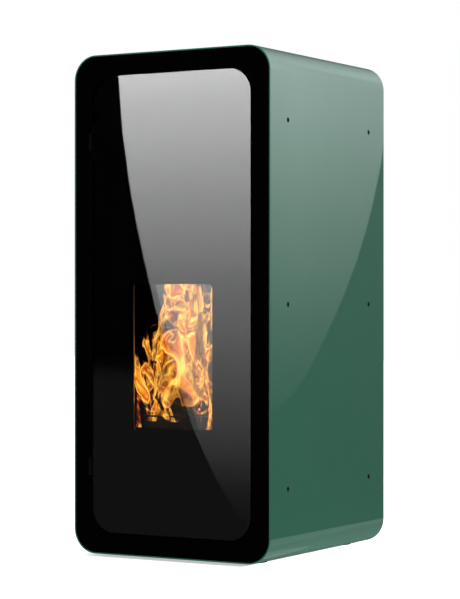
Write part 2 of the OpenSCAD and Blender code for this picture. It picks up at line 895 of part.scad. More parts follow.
module firebox_liner() {
    pitch = 28;
    color([0.35, 0.3, 0.26]) difference() {
        block([-cavity_half + 2, liner_y, cradle_top], [cavity_half - 2, cavity_back, fire_top - 2]);
        for (k = [-4:4])
            translate([k * pitch, liner_y, cradle_top - over]) cylinder(r = 4, h = firebox_h);
        chute_bar(chute_w / 2 + fit, -2 * chute_w, chute_w);
    }
}

module pot_cradle() {
    z1 = cradle_top;
    z0 = z1 - plenum_h;
    x0 = -plenum_left + 4 + ledge;
    t = cradle_t;
    py = pot_y - plenum_front;
    hole = pot_w / 2 + pot_clear;
    color(steel) difference() {
        union() {
            block([-cavity_half + 1, boiler_y + 40, z1 - t], [cavity_half - 1, cavity_back - fit, z1]);
            block([x0, py, z0], [plenum_right, cavity_back - fit, z1]);
        }
        block([x0 + t, py + t, z0 + t], [plenum_right - t, cavity_back - fit + over, z1 - t]);
        block([-hole, pot_y - hole, z0 + 10], [hole, pot_y + hole, z1 + over]);
    }
}

module burner_pot() {
    inner = pot_w - 2 * pot_t;
    color(cast) difference() {
        union() {
            translate([0, pot_y - pot_w / 2, pot_low]) linear_extrude(pot_h) outline(pot_w, pot_w, pot_r);
            translate([0, pot_y - pot_w / 2 - pot_flange, cradle_top]) linear_extrude(4)
                outline(pot_w + 2 * pot_flange, pot_w + 2 * pot_flange, pot_r);
        }
        translate([0, pot_y - inner / 2, pot_low + pot_t]) linear_extrude(pot_h)
            outline(inner, inner, pot_r - pot_t);
        for (i = [-1:1], j = [-1:1])
            translate([i * pot_hole_pitch, pot_y + j * pot_hole_pitch, pot_low - over])
                cylinder(r = pot_hole_r, h = pot_t + 2 * over);
        translate([igniter_x, pot_y, igniter_z]) rod_y(igniter_r - 1, pot_w);
        for (i = [-1:1]) translate([0, pot_y, pot_rim - 14]) {
            translate([i * pot_hole_pitch, -pot_w / 2 - over, 0]) rod_y(pot_hole_r, pot_w + 2 * over);
            translate([-pot_w / 2 - over, i * pot_hole_pitch, 0]) rod_x(pot_hole_r, pot_w + 2 * over);
        }
    }
}

module igniter() {
    color(steel) translate([igniter_x, pot_y + pot_w / 2 + 4, igniter_z]) {
        rod_y(igniter_r, boiler_back - pot_y - pot_w / 2 - 4 + 2);
        translate([0, boiler_back - pot_y - pot_w / 2 - 4, 0]) rod_y(igniter_r + 4, 14);
    }
}

module ash_drawer() {
    z1 = drawer_low + drawer_h;
    color(steel) difference() {
        union() {
            block([-drawer_half, drawer_front, drawer_low], [drawer_half, drawer_back, z1 - 6]);
            block([-drawer_half, drawer_front - drawer_t, drawer_low], [drawer_half, drawer_front, z1]);
        }
        block([-drawer_half + drawer_t, drawer_front, drawer_low + drawer_t],
            [drawer_half - drawer_t, drawer_back - drawer_t, z1 + over]);
        translate([0, drawer_front - drawer_t - over, z1 - 30]) upright(drawer_t + 2 * over)
            outline(90, 20, 10 - eps);
    }
}

module drawer_runners() {
    color(steel) for (sx = [0, 1]) mirror([sx, 0, 0]) {
        block([drawer_half - 18, boiler_y + 6, fire_floor], [cavity_half - fit, drawer_back, drawer_low]);
        block([drawer_half + 1, boiler_y + 6, fire_floor], [drawer_half + 3, drawer_back, drawer_low + 12]);
    }
}

module smoke_box() {
    t = duct_t;
    color(steel) difference() {
        union() {
            block([-smoke_half, smoke_front, boiler_top], [smoke_half, boiler_back, smoke_top]);
            for (x = stud_xs)
                translate([x, rows_mid, smoke_top - stud_root]) cylinder(r = stud_r, h = stud_root + stud_l);
        }
        difference() {
            block([-smoke_half + t, smoke_front + t, boiler_top - over],
                [smoke_half - t, boiler_back - t, smoke_top + over]);
            for (x = stud_xs)
                translate([x, rows_mid, smoke_top - stud_root]) cylinder(r = stud_r, h = 2 * stud_root);
            for (sx = [-1, 1]) scale([sx, 1, 1])
                block([smoke_half - smoke_ledge, smoke_front, smoke_top - t],
                    [smoke_half, boiler_back, smoke_top + 2 * over]);
        }
        block([duct_x + t, boiler_back - t - over, boiler_top + 5],
            [duct_x + duct_w - t, boiler_back + over, smoke_top - 5]);
    }
}

module cleaning_cover() {
    color(cast) difference() {
        union() {
            block([-smoke_half + 3, smoke_front + 3, smoke_top],
                [smoke_half - 3, boiler_back - 3, smoke_top + cover_t]);
            translate([0, rows_mid, smoke_top]) cylinder(r = rod_r + 8, h = cover_t + 12);
        }
        translate([0, rows_mid, smoke_top - over]) cylinder(r = rod_r + running, h = cover_t + 20);
        for (x = stud_xs)
            translate([x, rows_mid, smoke_top - over]) cylinder(r = stud_r + fit, h = cover_t + 2 * over);
    }
}

module cover_nuts() {
    color(black) for (x = stud_xs)
        translate([x, rows_mid, smoke_top + cover_t]) difference() {
            union() {
                cylinder(r = 9, h = 6);
                cylinder(r = 20, h = 12, $fn = 7);
            }
            translate([0, 0, -over]) cylinder(r = stud_r + thread_fit, h = 15 + 2 * over);
        }
}

// Twisted strips that hang in the fire tubes
module turbulators() {
    color(steel) for (x = tube_xs, y = tube_ys) translate([x, y, yoke_z - strip_l - 4]) {
        linear_extrude(strip_l, twist = 720, slices = 32, $fn = 4) square([strip_w, strip_t], center = true);
        translate([0, 0, strip_l - 6]) cylinder(r = 3, h = 10 + yoke_t + 3);
    }
}

// Yoke over the fire tubes, with the pull rod and its knob
module scraper_rod() {
    z1 = knob_top - 20;
    bar = 9;
    color(steel) difference() {
        union() {
            for (y = tube_ys)
                block([-tube_pitch_x - 12, y - bar, yoke_z], [tube_pitch_x + 12, y + bar, yoke_z + yoke_t]);
            for (x = [-tube_pitch_x / 2, tube_pitch_x / 2])
                block([x - bar, tube_ys[0] - bar, yoke_z], [x + bar, tube_ys[1] + bar, yoke_z + yoke_t]);
            block([-tube_pitch_x / 2, rows_mid - bar - 1, yoke_z],
                [tube_pitch_x / 2, rows_mid + bar + 1, yoke_z + yoke_t]);
            translate([0, rows_mid, yoke_z]) cylinder(r = rod_r, h = z1 - yoke_z + 5);
            translate([0, rows_mid, z1]) cylinder(r1 = knob_r - 6, r2 = knob_r, h = 8);
            translate([0, rows_mid, z1 + 8]) cylinder(r = knob_r, h = 12);
        }
        for (x = tube_xs, y = tube_ys)
            translate([x, y, yoke_z - over]) cylinder(r = 3 + thread_fit, h = yoke_t + 2 * over);
    }
}

module exhaust_duct() {
    t = duct_t;
    x1 = duct_x + duct_w;
    color(steel) difference() {
        block([duct_x, boiler_back, duct_low], [x1, fan_y, smoke_top - 1]);
        block([duct_x + t, boiler_back + t, duct_low + t], [x1 - t, fan_y - t, smoke_top - 1 - t]);
        block([duct_x + t, boiler_back - over, boiler_top + 5],
            [x1 - t, boiler_back + t + over, smoke_top - 5]);
        translate([fan_x, fan_y - t - over, fan_z]) rod_y(fan_r / 2, t + 2 * over);
    }
}

// Scroll of the fan: its radius grows evenly round the impeller
function scroll(r, grow) = [for (a = [0:10:360]) (r + grow * a / 360) * [cos(90 - a), sin(90 - a)]];

module fan_housing() {
    t = housing_t;
    bottom = volute_r + volute_grow / 2;
    color(steel) translate([fan_x, fan_y, fan_z]) difference() {
        union() {
            upright(housing_d) polygon(scroll(volute_r, volute_grow));
            block([outlet_x - fan_x, 0, -bottom], [0, housing_d, -bottom + outlet_h]);
        }
        translate([0, t, 0]) upright(housing_d - 2 * t) polygon(scroll(volute_r - t, volute_grow));
        block([outlet_x - fan_x - over, t, -bottom + t], [0, housing_d - t, -bottom + outlet_h - t]);
        translate([0, -over, 0]) rod_y(fan_r / 2, t + 2 * over);
        translate([0, housing_d - t - over, 0]) rod_y(14, t + 2 * over);
    }
}

// Centrifugal wheel: hub, back plate and curved blades
module fan_impeller() {
    y0 = 8;
    y1 = housing_d - 8;
    color([0.7, 0.71, 0.72]) translate([fan_x, fan_y, fan_z]) difference() {
        union() {
            translate([0, y1 - 2, 0]) rod_y(fan_r, 2);
            translate([0, y0 + 6, 0]) rod_y(12, y1 - y0 - 6);
            translate([0, y0, 0]) upright(y1 - y0) difference() {
                circle(fan_r);
                circle(fan_r - 3);
                for (k = [0:blades - 1])
                    rotate(k * 360 / blades + 4) translate([fan_r - 6, -fan_r]) square([12, 2 * fan_r]);
            }
            translate([0, y0, 0]) upright(y1 - y0) for (k = [0:blades - 1]) rotate(k * 360 / blades)
                intersection() {
                    translate([34, 18]) difference() {
                        circle(30);
                        circle(28);
                    }
                    translate([fan_r / 2 - 4, -12]) square([fan_r / 2 + 2, 20]);
                    circle(fan_r - 1);
                }
        }
        translate([0, y0, 0]) rod_y(4 + running, y1);
    }
}

module fan_motor() {
    y1 = housing_d;
    color(cast) translate([fan_x, fan_y, fan_z]) {
        translate([0, y1, 0]) rod_y(fan_plate_r, fan_plate_t);
        translate([0, y1 + fan_plate_t, 0]) rod_y(fan_can_r, fan_can_l);
        translate([0, y1 + fan_plate_t + fan_can_l, 0]) rod_y(fan_cap_r, fan_plate_t);
        translate([0, 16, 0]) rod_y(4, y1 - 10);
    }
}

module flue_spigot() {
    y0 = fan_y;
    top = outlet_h / 2;
    bottom = volute_r + volute_grow / 2;
    zc = fan_z - bottom + outlet_h / 2;
    color(cast) difference() {
        union() {
            translate([flue_x, y0, flue_z]) rod_y(flue_r - pipe_step, end_y - y0);
            translate([flue_x, back_y + step_out, flue_z]) rod_y(flue_r, rear_reach - step_out);
            block([flue_x, y0, zc - top], [outlet_x, y0 + housing_d, zc + top]);
        }
        translate([flue_x, y0 + flue_wall, flue_z]) rod_y(flue_r - pipe_step - flue_wall, end_y - y0);
        block([flue_x, y0 + flue_wall, zc - top + flue_wall],
            [outlet_x + over, y0 + housing_d - flue_wall, zc + top - flue_wall]);
    }
}

module air_intake_pipe() {
    y0 = cavity_back;
    color(steel) translate([air_x, 0, air_z]) difference() {
        union() {
            translate([0, y0, 0]) rod_y(air_r - pipe_step, end_y - y0);
            translate([0, back_y + step_out, 0]) rod_y(air_r, rear_reach - step_out);
        }
        translate([0, y0 - over, 0]) rod_y(air_r - pipe_step - air_wall, end_y - y0 + 2 * over);
    }
}

// The hopper's outline in x and z, drawn in by t
module hopper_front_outline(t) {
    k = t / 2;
    polygon([
        [-collar_half + t, collar_top - (t > 0 ? over : 0)],
        [collar_half - t, collar_top - (t > 0 ? over : 0)],
        [hopper_half - t, slope_front_z + k], [hopper_half - t, shoulder_z - k],
        [mouth_half - t, neck_low - k], [mouth_half - t, hopper_brim + (t > 0 ? over : 0)],
        [-mouth_half + t, hopper_brim + (t > 0 ? over : 0)], [-mouth_half + t, neck_low - k],
        [-hopper_half + t, shoulder_z - k], [-hopper_half + t, slope_front_z + k]
    ]);
}

// The hopper's outline in y and z, drawn in by t
module hopper_side_outline(t) {
    k = t / 2;
    y0 = collar_y - collar_half + t;
    y1 = collar_y + collar_half - t;
    polygon([
        [y0, collar_top - (t > 0 ? over : 0)], [y1, collar_top - (t > 0 ? over : 0)],
        [hopper_back - t, slope_rear_z + k], [hopper_back - t, shoulder_z - k],
        [neck_back - t, neck_low - k], [neck_back - t, hopper_brim + (t > 0 ? over : 0)],
        [neck_front + t, hopper_brim + (t > 0 ? over : 0)], [neck_front + t, neck_low - k],
        [hopper_front + t, shoulder_z - k], [hopper_front + t, slope_front_z + k]
    ]);
}

module hopper_solid(t) {
    intersection() {
        translate([0, hopper_front, 0]) upright(hopper_back - hopper_front) hopper_front_outline(t);
        translate([-hopper_half, 0, 0]) sideways(2 * hopper_half) hopper_side_outline(t);
    }
}

module hopper() {
    ear_y = back_y - screw_inset;
    ear_z = shoulder_z - 120;
    color(steel) difference() {
        union() {
            hopper_solid(0);
            for (sx = [-1, 1]) scale([sx, 1, 1])
                block([hopper_half - over, ear_y - 14, ear_z], [in_half - post, ear_y + 14, ear_z + 4]);
        }
        hopper_solid(hopper_t);
        for (k = [-3:3])
            translate([k * grille_pitch, neck_front - over, grille_z])
                rod_y(grille_r + fit / 2, neck_back - neck_front + 2 * over);
    }
}

module hopper_grille() {
    color(steel) for (k = [-3:3])
        translate([k * grille_pitch, neck_front, grille_z]) rod_y(grille_r, neck_back - neck_front);
}

module hopper_lid() {
    color(green) difference() {
        union() {
            block([-lid_half, lid_front, top_z - sheet], [lid_half, lid_back, top_z]);
            for (x = lid_hinge_xs) translate([x - knuckle_l / 2, lid_axis_y, lid_axis_z]) {
                rod_x(knuckle_r, knuckle_l);
                translate([0, -axis_out - over, knuckle_r - sheet]) cube([knuckle_l, axis_out + over, sheet]);
            }
        }
        for (x = lid_hinge_xs)
            translate([x - knuckle_l, lid_axis_y, lid_axis_z]) rod_x(pin_r + running, 2 * knuckle_l);
    }
}

module lid_hinge_pin() {
    color(steel) for (x = lid_hinge_xs)
        translate([x - ear_reach, lid_axis_y, lid_axis_z]) rod_x(pin_r, 2 * ear_reach);
}

// Places children in the auger's own frame, with z up along its axis
module along_auger() {
    translate([0, auger_y, auger_z]) rotate([90 - auger_tilt, 0, 0]) children();
}

module auger_tube() {
    h = collar_half;
    color(steel) difference() {
        union() {
            along_auger() cylinder(r = auger_r, h = auger_l);
            block([-h, collar_y - h, auger_z], [h, collar_y + h, collar_top]);
        }
        block([-h + collar_t, collar_y - h + collar_t, auger_z + 12],
            [h - collar_t, collar_y + h - collar_t, collar_top + over]);
        along_auger() {
            translate([0, 0, 4]) cylinder(r = auger_r - auger_wall, h = auger_l - 8);
            translate([0, 0, -over]) cylinder(r = shaft_r + running, h = 10);
            translate([0, 0, auger_l - 6]) cylinder(r = shaft_r + running, h = 10);
            translate([-h - over, -3 * h, -2 * h]) cube([2 * (h + over), 3 * h - auger_r - 2, 6 * h]);
            translate([-h - over, -2 * h, -2 * h]) cube([2 * (h + over), 4 * h, 2 * h]);
        }
        chute_bar(chute_w / 2 - duct_t, chute_reach - auger_r - 20, chute_reach);
    }
}

// Shaft with one turning flight
module auger_screw() {
    flight = auger_l - 14;
    color(steel) along_auger() {
        translate([0, 0, -18]) cylinder(r = shaft_r, h = auger_l + 18 + 4);
        translate([0, 0, 7]) linear_extrude(flight, twist = -360 * flight / auger_pitch, slices = 90, $fn = 6)
            polygon([[0, -3], [flight_r, -3], [flight_r, 3], [0, 3]]);
    }
}

module gearmotor() {
    color(cast) along_auger() difference() {
        union() {
            translate([-gear_w / 2, -gear_low, -gear_l]) cube([gear_w, gear_h, gear_l]);
            translate([0, 0, -gear_l - motor_l]) cylinder(r = motor_r, h = motor_l);
        }
        translate([0, 0, -gear_l / 2]) cylinder(r = shaft_r + running, h = gear_l / 2 + over);
    }
}

module drop_chute() {
    half = chute_w / 2;
    color(steel) difference() {
        chute_bar(half, -chute_w, chute_reach - 6);
        chute_bar(half - duct_t, -2 * chute_w, chute_reach + 10);
        block([-half - over, liner_y - 3 * chute_w, chute_z - 3 * chute_w],
            [half + over, liner_y, chute_z + 3 * chute_w]);
        along_auger() translate([0, 0, -over]) cylinder(r = auger_r + fit / 2, h = auger_l + 40);
        translate([-half - over, meet_y - 4, meet_z - 20]) cube([2 * half + 2, 60, 60]);
    }
}

module circulation_pump() {
    color([0.55, 0.12, 0.1]) translate([pump_x, pump_y, pump_z]) {
        translate([0, -volute_front, 0]) rod_y(volute_pump_r, volute_l);
        translate([0, 0, -port_half]) cylinder(r = port_r, h = 2 * port_half);
        for (z = [-port_half, port_half - union_l])
            translate([0, 0, z]) cylinder(r = union_r, h = union_l, $fn = 6);
        translate([0, 2 - volute_front - stator_l, 0]) rod_y(stator_r, stator_l);
        translate([-drive_w / 2, 4 - volute_front - stator_l - drive_d, -drive_h / 2])
            cube([drive_w, drive_d, drive_h]);
    }
}

// Elbow fitting
module elbow() {
    sphere(elbow_r);
}

module return_pipe() {
    bottom = pump_z - port_half;
    color(brass) {
        translate([pump_x, pump_y, water_z]) {
            rod_y(pipe_r, end_y - pump_y - rear_reach - 12);
            translate([0, end_y - pump_y - rear_reach - 12, 0]) rod_y(thread_r, rear_reach + 12);
            elbow();
            cylinder(r = pipe_r, h = bottom - water_z);
        }
        translate([pump_x, pump_y, return_in_z]) {
            translate([0, 0, pump_z + port_half - return_in_z])
                cylinder(r = pipe_r, h = return_in_z - pump_z - port_half);
            elbow();
            translate([0, boiler_back - pump_y, 0]) rod_y(pipe_r, pump_y - boiler_back);
        }
    }
}

module flow_pipe() {
    color(brass) {
        translate([flow_x, boiler_back, flow_top]) rod_y(pipe_r, flow_y - boiler_back);
        translate([flow_x, flow_y, flow_top]) elbow();
        translate([flow_x, flow_y, water_z]) cylinder(r = pipe_r, h = flow_top - water_z);
        translate([flow_x, flow_y, water_z]) elbow();
        translate([flow_x, flow_y, water_z]) rod_y(pipe_r, end_y - flow_y - rear_reach - 12);
        translate([flow_x, end_y - rear_reach - 12, water_z]) rod_y(thread_r, rear_reach + 12);
    }
}

// Flat round vessel, hung on the boiler's left side
module expansion_vessel() {
    half = vessel_t / 2;
    color([0.6, 0.1, 0.08]) translate([-boiler_w / 2 - vessel_gap - half, vessel_y, vessel_z]) {
        rotate([0, 90, 0]) rotate_extrude() polygon([
            [0, -half], [vessel_r * 0.55, -half], [vessel_r * 0.85, -half * 0.75], [vessel_r, -half * 0.3],
            [vessel_r, half * 0.3], [vessel_r * 0.85, half * 0.75], [vessel_r * 0.55, half], [0, half]
        ]);
        translate([half - over, 0, 0]) rod_x(20, vessel_gap + over);
    }
}

module safety_valve() {
    color(brass) translate([boiler_w / 2 + boss_l, valve_y, valve_z]) {
        rod_x(13, 26);
        translate([24, 0, -30]) cylinder(r = 11, h = 44);
        translate([24, 0, 14]) cylinder(r = 17, h = 22);
    }
}

module air_vent() {
    color(brass) translate([boiler_w / 2 + boss_l, vent_y, vent_z]) {
        rod_x(9, 24);
        translate([24, 0, -10]) cylinder(r = 14, h = 50);
        translate([24, 0, 40]) cylinder(r = 6, h = 12);
    }
}

module control_box() {
    x1 = in_half - post;
    y0 = front_y + screw_inset - post / 2;
    y1 = back_y - screw_inset + post / 2;
    z0 = base_z + box_low;
    color([0.75, 0.76, 0.74]) difference() {
        union() {
            block([x1 - 2, y0, z0 + box_rim], [x1, y1, z0 + box_h - box_rim]);
            block([x1 - box_d, y0 + box_front, z0], [x1 - 1, y1 - box_rear, z0 + box_h]);
        }
        for (k = [0:7])
            translate([x1 - box_d - over, y0 + box_front + 20 + k * 16, z0 + 20]) cube([3 + over, 8, 60]);
    }
}

module display_panel() {
    y1 = display_y + display_d;
    color(black) difference() {
        union() {
            block([-display_half, display_y, display_low], [display_half, y1, face_z]);
            block([-display_half - 8, display_y - 1.5, top_z - sheet - flange_t],
                [display_half + 8, y1 + 8, top_z - sheet]);
        }
        block([-display_half + 14, display_y + 34, face_z - 1], [display_half - 14, y1 - 8, face_z + over]);
        for (k = [-1:1]) translate([k * button_pitch, button_y, 0]) {
            translate([0, 0, display_low + 4]) cylinder(r = button_r + 2, h = face_z - display_low - 6);
            translate([0, 0, face_z - 3]) cylinder(r = button_r + meet, h = 3 + over);
        }
    }
}

// Press button with its retaining collar
module press_button(k) {
    translate([k * button_pitch, button_y, 0]) {
        translate([0, 0, face_z - 14]) cylinder(r = button_r, h = 14 + press);
        translate([0, 0, face_z - 2 - meet - 2]) cylinder(r = button_r + 2 - meet, h = 2);
    }
}

module button_power() {
    color("silver") press_button(-1);
}

module button_minus() {
    color("silver") press_button(0);
}

module button_plus() {
    color("silver") press_button(1);
}

module power_inlet() {
    color(black) difference() {
        union() {
            translate([inlet_x - inlet_w / 2, back_y - 28, inlet_z - inlet_h / 2])
                cube([inlet_w, 30, inlet_h]);
            translate([inlet_x, back_y, inlet_z - inlet_h / 2 - 4]) upright(3)
                outline(inlet_w + 12, inlet_h + 8, 4);
            translate([switch_x, back_y, inlet_z - switch_h / 2 - 4]) upright(3)
                outline(switch_w + 10, switch_h + 8, 4);
            translate([switch_x - switch_w / 2 - 2, back_y - 24, inlet_z - switch_h / 2 - 2])
                cube([switch_w + 4, 26, switch_h + 4]);
            translate([inlet_x + 20, back_y, inlet_z - 6]) cube([20, 3, 12]);
        }
        translate([inlet_x - 12, back_y - 15, inlet_z - 8]) cube([24, 20, 16]);
        translate([switch_x - switch_w / 2 - meet, back_y - 20, inlet_z - switch_h / 2 - meet])
            cube([switch_w + 2 * meet, 26, switch_h + 2 * meet]);
    }
    color(steel) for (k = [-1:1]) translate([inlet_x + k * 7 - 1, back_y - 16, inlet_z - 3 + abs(k)])
        cube([2, 12, 5]);
}

// Rocker, standing tilted towards its lower end
module power_switch() {
    r = switch_h / 2 - 1;
    color(black) intersection() {
        translate([switch_x - switch_w / 2, back_y - 6, inlet_z]) rotate([-rocker_tilt, 0, 0])
            translate([0, -6, -switch_h / 2 + 1]) cube([switch_w, 15, switch_h - 2]);
        translate([switch_x - switch_w / 2 - 1, back_y - 6, inlet_z]) rod_x(r, switch_w + 2);
    }
}

module safety_thermostat() {
    color(black) translate([therm_x, 0, therm_z]) {
        translate([0, back_y - sheet - 24, 0]) rod_y(20, 24);
        translate([0, back_y - sheet - over, 0]) rod_y(7, sheet + over + 2);
        translate([0, back_y, 0]) rod_y(13, 10);
    }
}

left_casing();
right_casing();
top_cover();
base_tray();
rear_panel();
front_frame();
front_posts();
rear_posts();
casing_screws();
levelling_feet();
hinge_brackets();
hinge_pins();
door_catch();
door_glass();
glass_mask();
door_panel();
fire_glass();
glass_retainer();
door_seal();
boiler_body();
firebox_liner();
pot_cradle();
burner_pot();
igniter();
ash_drawer();
drawer_runners();
smoke_box();
cleaning_cover();
cover_nuts();
turbulators();
scraper_rod();
exhaust_duct();
fan_housing();
fan_impeller();
fan_motor();
flue_spigot();
air_intake_pipe();
hopper();
hopper_grille();
hopper_lid();
lid_hinge_pin();
auger_tube();
auger_screw();
gearmotor();
drop_chute();
circulation_pump();
return_pipe();
flow_pipe();
expansion_vessel();
safety_valve();
air_vent();
control_box();
display_panel();
button_power();
button_minus();
button_plus();
power_inlet();
power_switch();
safety_thermostat();
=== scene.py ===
"""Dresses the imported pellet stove: finishes for its nodes, and the pieces modelled here."""

import json
import logging
import math
import random
from dataclasses import dataclass
from enum import Enum
from typing import Any, Callable, Iterable

import bpy
from mathutils import Euler, Matrix, Vector

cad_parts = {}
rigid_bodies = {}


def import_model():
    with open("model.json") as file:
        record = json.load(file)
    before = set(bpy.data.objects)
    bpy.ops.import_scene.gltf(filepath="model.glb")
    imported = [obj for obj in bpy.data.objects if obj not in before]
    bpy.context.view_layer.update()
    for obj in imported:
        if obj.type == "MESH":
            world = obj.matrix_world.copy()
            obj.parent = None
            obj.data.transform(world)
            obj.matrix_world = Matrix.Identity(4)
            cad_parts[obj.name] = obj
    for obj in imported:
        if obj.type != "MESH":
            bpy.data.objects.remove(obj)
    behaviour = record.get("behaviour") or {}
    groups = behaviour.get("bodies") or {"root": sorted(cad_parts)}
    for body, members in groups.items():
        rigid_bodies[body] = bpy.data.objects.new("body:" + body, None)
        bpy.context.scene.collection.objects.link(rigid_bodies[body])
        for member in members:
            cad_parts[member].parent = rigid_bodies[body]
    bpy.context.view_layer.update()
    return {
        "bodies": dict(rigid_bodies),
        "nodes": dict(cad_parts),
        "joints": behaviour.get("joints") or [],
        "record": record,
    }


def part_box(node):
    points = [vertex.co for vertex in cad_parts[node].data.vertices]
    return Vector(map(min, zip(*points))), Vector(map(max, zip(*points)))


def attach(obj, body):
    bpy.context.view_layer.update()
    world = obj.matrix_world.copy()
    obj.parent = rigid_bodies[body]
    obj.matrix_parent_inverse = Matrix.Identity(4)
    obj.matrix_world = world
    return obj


Colour = tuple[float, float, float, float]
Pair = tuple[float, float]
Point = tuple[float, float, float]
Stops = tuple[Pair, ...]
Material = bpy.types.Material
Node = bpy.types.Node
Piece = bpy.types.Object
Socket = bpy.types.NodeSocket
Tree = bpy.types.NodeTree

LOG = logging.getLogger("stove")
MM = 0.001
MM_PER_M = 1000
# How wide the rounding of folded and cut sheet edges looks, and how often it is sampled.
EDGE_MM = 0.8
EDGE_SAMPLES = 4
# Faces that meet at less than this angle are shaded as one surface.
SMOOTH_DEG = 35.0
# A face whose normal has at least this much Z lies flat.
FLAT = 0.99
# A wave texture of scale 1 repeats after this many metres.
WAVE_PERIOD = math.pi / 10


def linear(hex_colour: str) -> Colour:
    """Turns an sRGB hex colour to the linear values that Blender's sockets take.

    Args:
        hex_colour: A # and six hex digits.

    Returns:
        Red, green, blue and alpha, with alpha 1.
    """
    values = [int(hex_colour[i : i + 2], 16) / 255 for i in (1, 3, 5)]
    r, g, b = [v / 12.92 if v <= 0.04045 else ((v + 0.055) / 1.055) ** 2.4 for v in values]
    return r, g, b, 1.0


def toned(colour: Colour, factor: float, lift: float = 0.0) -> Colour:
    """Makes a colour lighter or darker.

    Args:
        colour: The linear colour.
        factor: What each of its parts is multiplied by.
        lift: What is then added to each.

    Returns:
        The new colour, no brighter than white.
    """
    r, g, b = [min(1.0, value * factor + lift) for value in colour[:3]]
    return r, g, b, 1.0


def add_node(tree: Tree, kind: str, inputs: dict[str | int, Any] | None = None) -> Node:
    """Adds one shader node with its settings and links.

    Args:
        tree: The material's or world's node tree.
        kind: The node's type name, without the ShaderNode in front.
        inputs: What its input sockets, by name or number, and its own properties, by name, are set
            to. A socket is linked, and so is a node, by its first output.

    Returns:
        The new node.
    """
    node = tree.nodes.new(f"ShaderNode{kind}")
    for name, value in (inputs or {}).items():
        source = value.outputs[0] if isinstance(value, Node) else value
        if isinstance(source, Socket):
            tree.links.new(source, node.inputs[name])
        elif isinstance(name, int) or name in node.inputs:
            node.inputs[name].default_value = source
        else:
            setattr(node, name, source)
    return node


def set_ramp(node: Node, stops: Iterable[tuple[float, Colour]]) -> None:
    """Sets the colours of a ramp node.

    Args:
        node: A Color Ramp node.
        stops: Pairs of position and linear colour, from left to right.
    """
    elements = node.color_ramp.elements
    for i, (place, colour) in enumerate(stops):
        element = elements[i] if i < len(elements) else elements.new(place)
        element.position = place
        element.color = colour


def empty_material(name: str) -> Material:
    """Makes a material that has no nodes yet.

    Args:
        name: The material's name.

    Returns:
        The material.
    """
    made = bpy.data.materials.new(name)
    made.use_nodes = True
    made.node_tree.nodes.clear()
    return made


class Grain(Enum):
    """How a metal's surface was worked: the scale of its marks along X, Y and Z, small where they
    run long."""

    BRUSHED_UP = (1.0, 1.0, 0.03)
    ROLLED = (0.5, 0.5, 0.5)
    TURNED = (0.04, 1.0, 1.0)


class Axis(Enum):
    """The frame's axes: X to the right, Y to the back and Z up."""

    X = 0
    Y = 1
    Z = 2


@dataclass(frozen=True)
class Finish:
    """A finish: one material, made once and shared by the pieces that have it."""

    name: str
    colour: str

    def build(self, tree: Tree, coords: Socket) -> Node:
        """Makes the shader; each kind of finish has its own."""
        raise NotImplementedError

    def material(self) -> Material:
        """Makes the material on first use, and finds it after that.

        Returns:
            The material.
        """
        found = bpy.data.materials.get(self.name)
        if found is not None:
            return found
        made = empty_material(self.name)
        coords = add_node(made.node_tree, "TexCoord").outputs["Object"]
        shader = self.build(made.node_tree, coords)
        add_node(made.node_tree, "OutputMaterial", {"Surface": shader})
        return made

    def dress(self, *pieces: Piece) -> None:
        """Gives this finish to every slot of some objects.

        Args:
            *pieces: The mesh objects.
        """
        for piece in pieces:
            if not piece.material_slots:
                piece.data.materials.append(None)
            for slot in piece.material_slots:
                slot.link = "OBJECT"
                slot.material = self.material()


@dataclass(frozen=True)
class Coating(Finish):
    """Paint, enamel, print or oxide on a smooth sheet: an even colour with a faint orange peel."""

    roughness: float
    smudge: Pair = (-0.03, 0.04)
    peel_mm: float = 1.6
    peel_depth_mm: float = 0.012
    coat: float = 0.0
    coat_roughness: float = 0.05
    specular: float = 0.5
    variation: float = 0.05
    clouds_per_m: float = 6.0
    smudges_per_m: float = 18.0

    def build(self, tree: Tree, coords: Socket) -> Node:
        """Makes the coating's shader.

        Args:
            tree: The material's node tree.
            coords: Object coordinates, in metres.

        Returns:
            The shader.
        """
        base = linear(self.colour)
        cloud = add_node(tree, "TexNoise", {
            "Scale": self.clouds_per_m, "Detail": 3.0, "Vector": coords})
        tint = add_node(tree, "ValToRGB", {"Fac": cloud})
        set_ramp(tint, [
            (0.3, toned(base, 1 - self.variation)), (0.7, toned(base, 1 + self.variation))])
        peel = add_node(tree, "TexNoise", {
            "Scale": MM_PER_M / self.peel_mm, "Detail": 2.0, "Vector": coords})
        edge = add_node(tree, "Bevel", {"samples": EDGE_SAMPLES, "Radius": EDGE_MM * MM})
        bump = add_node(tree, "Bump", {
            "Strength": 0.5, "Distance": self.peel_depth_mm * MM, "Height": peel, "Normal": edge})
        smudge = add_node(tree, "TexNoise", {
            "Scale": self.smudges_per_m, "Detail": 4.0, "Vector": coords})
        less, more = self.smudge
        rough = add_node(tree, "MapRange", {
            "To Min": self.roughness + less, "To Max": self.roughness + more, "Value": smudge})
        return add_node(tree, "BsdfPrincipled", {
            "Coat Weight": self.coat, "Coat Roughness": self.coat_roughness,
            "Specular IOR Level": self.specular, "Base Color": tint, "Roughness": rough,
            "Normal": bump})


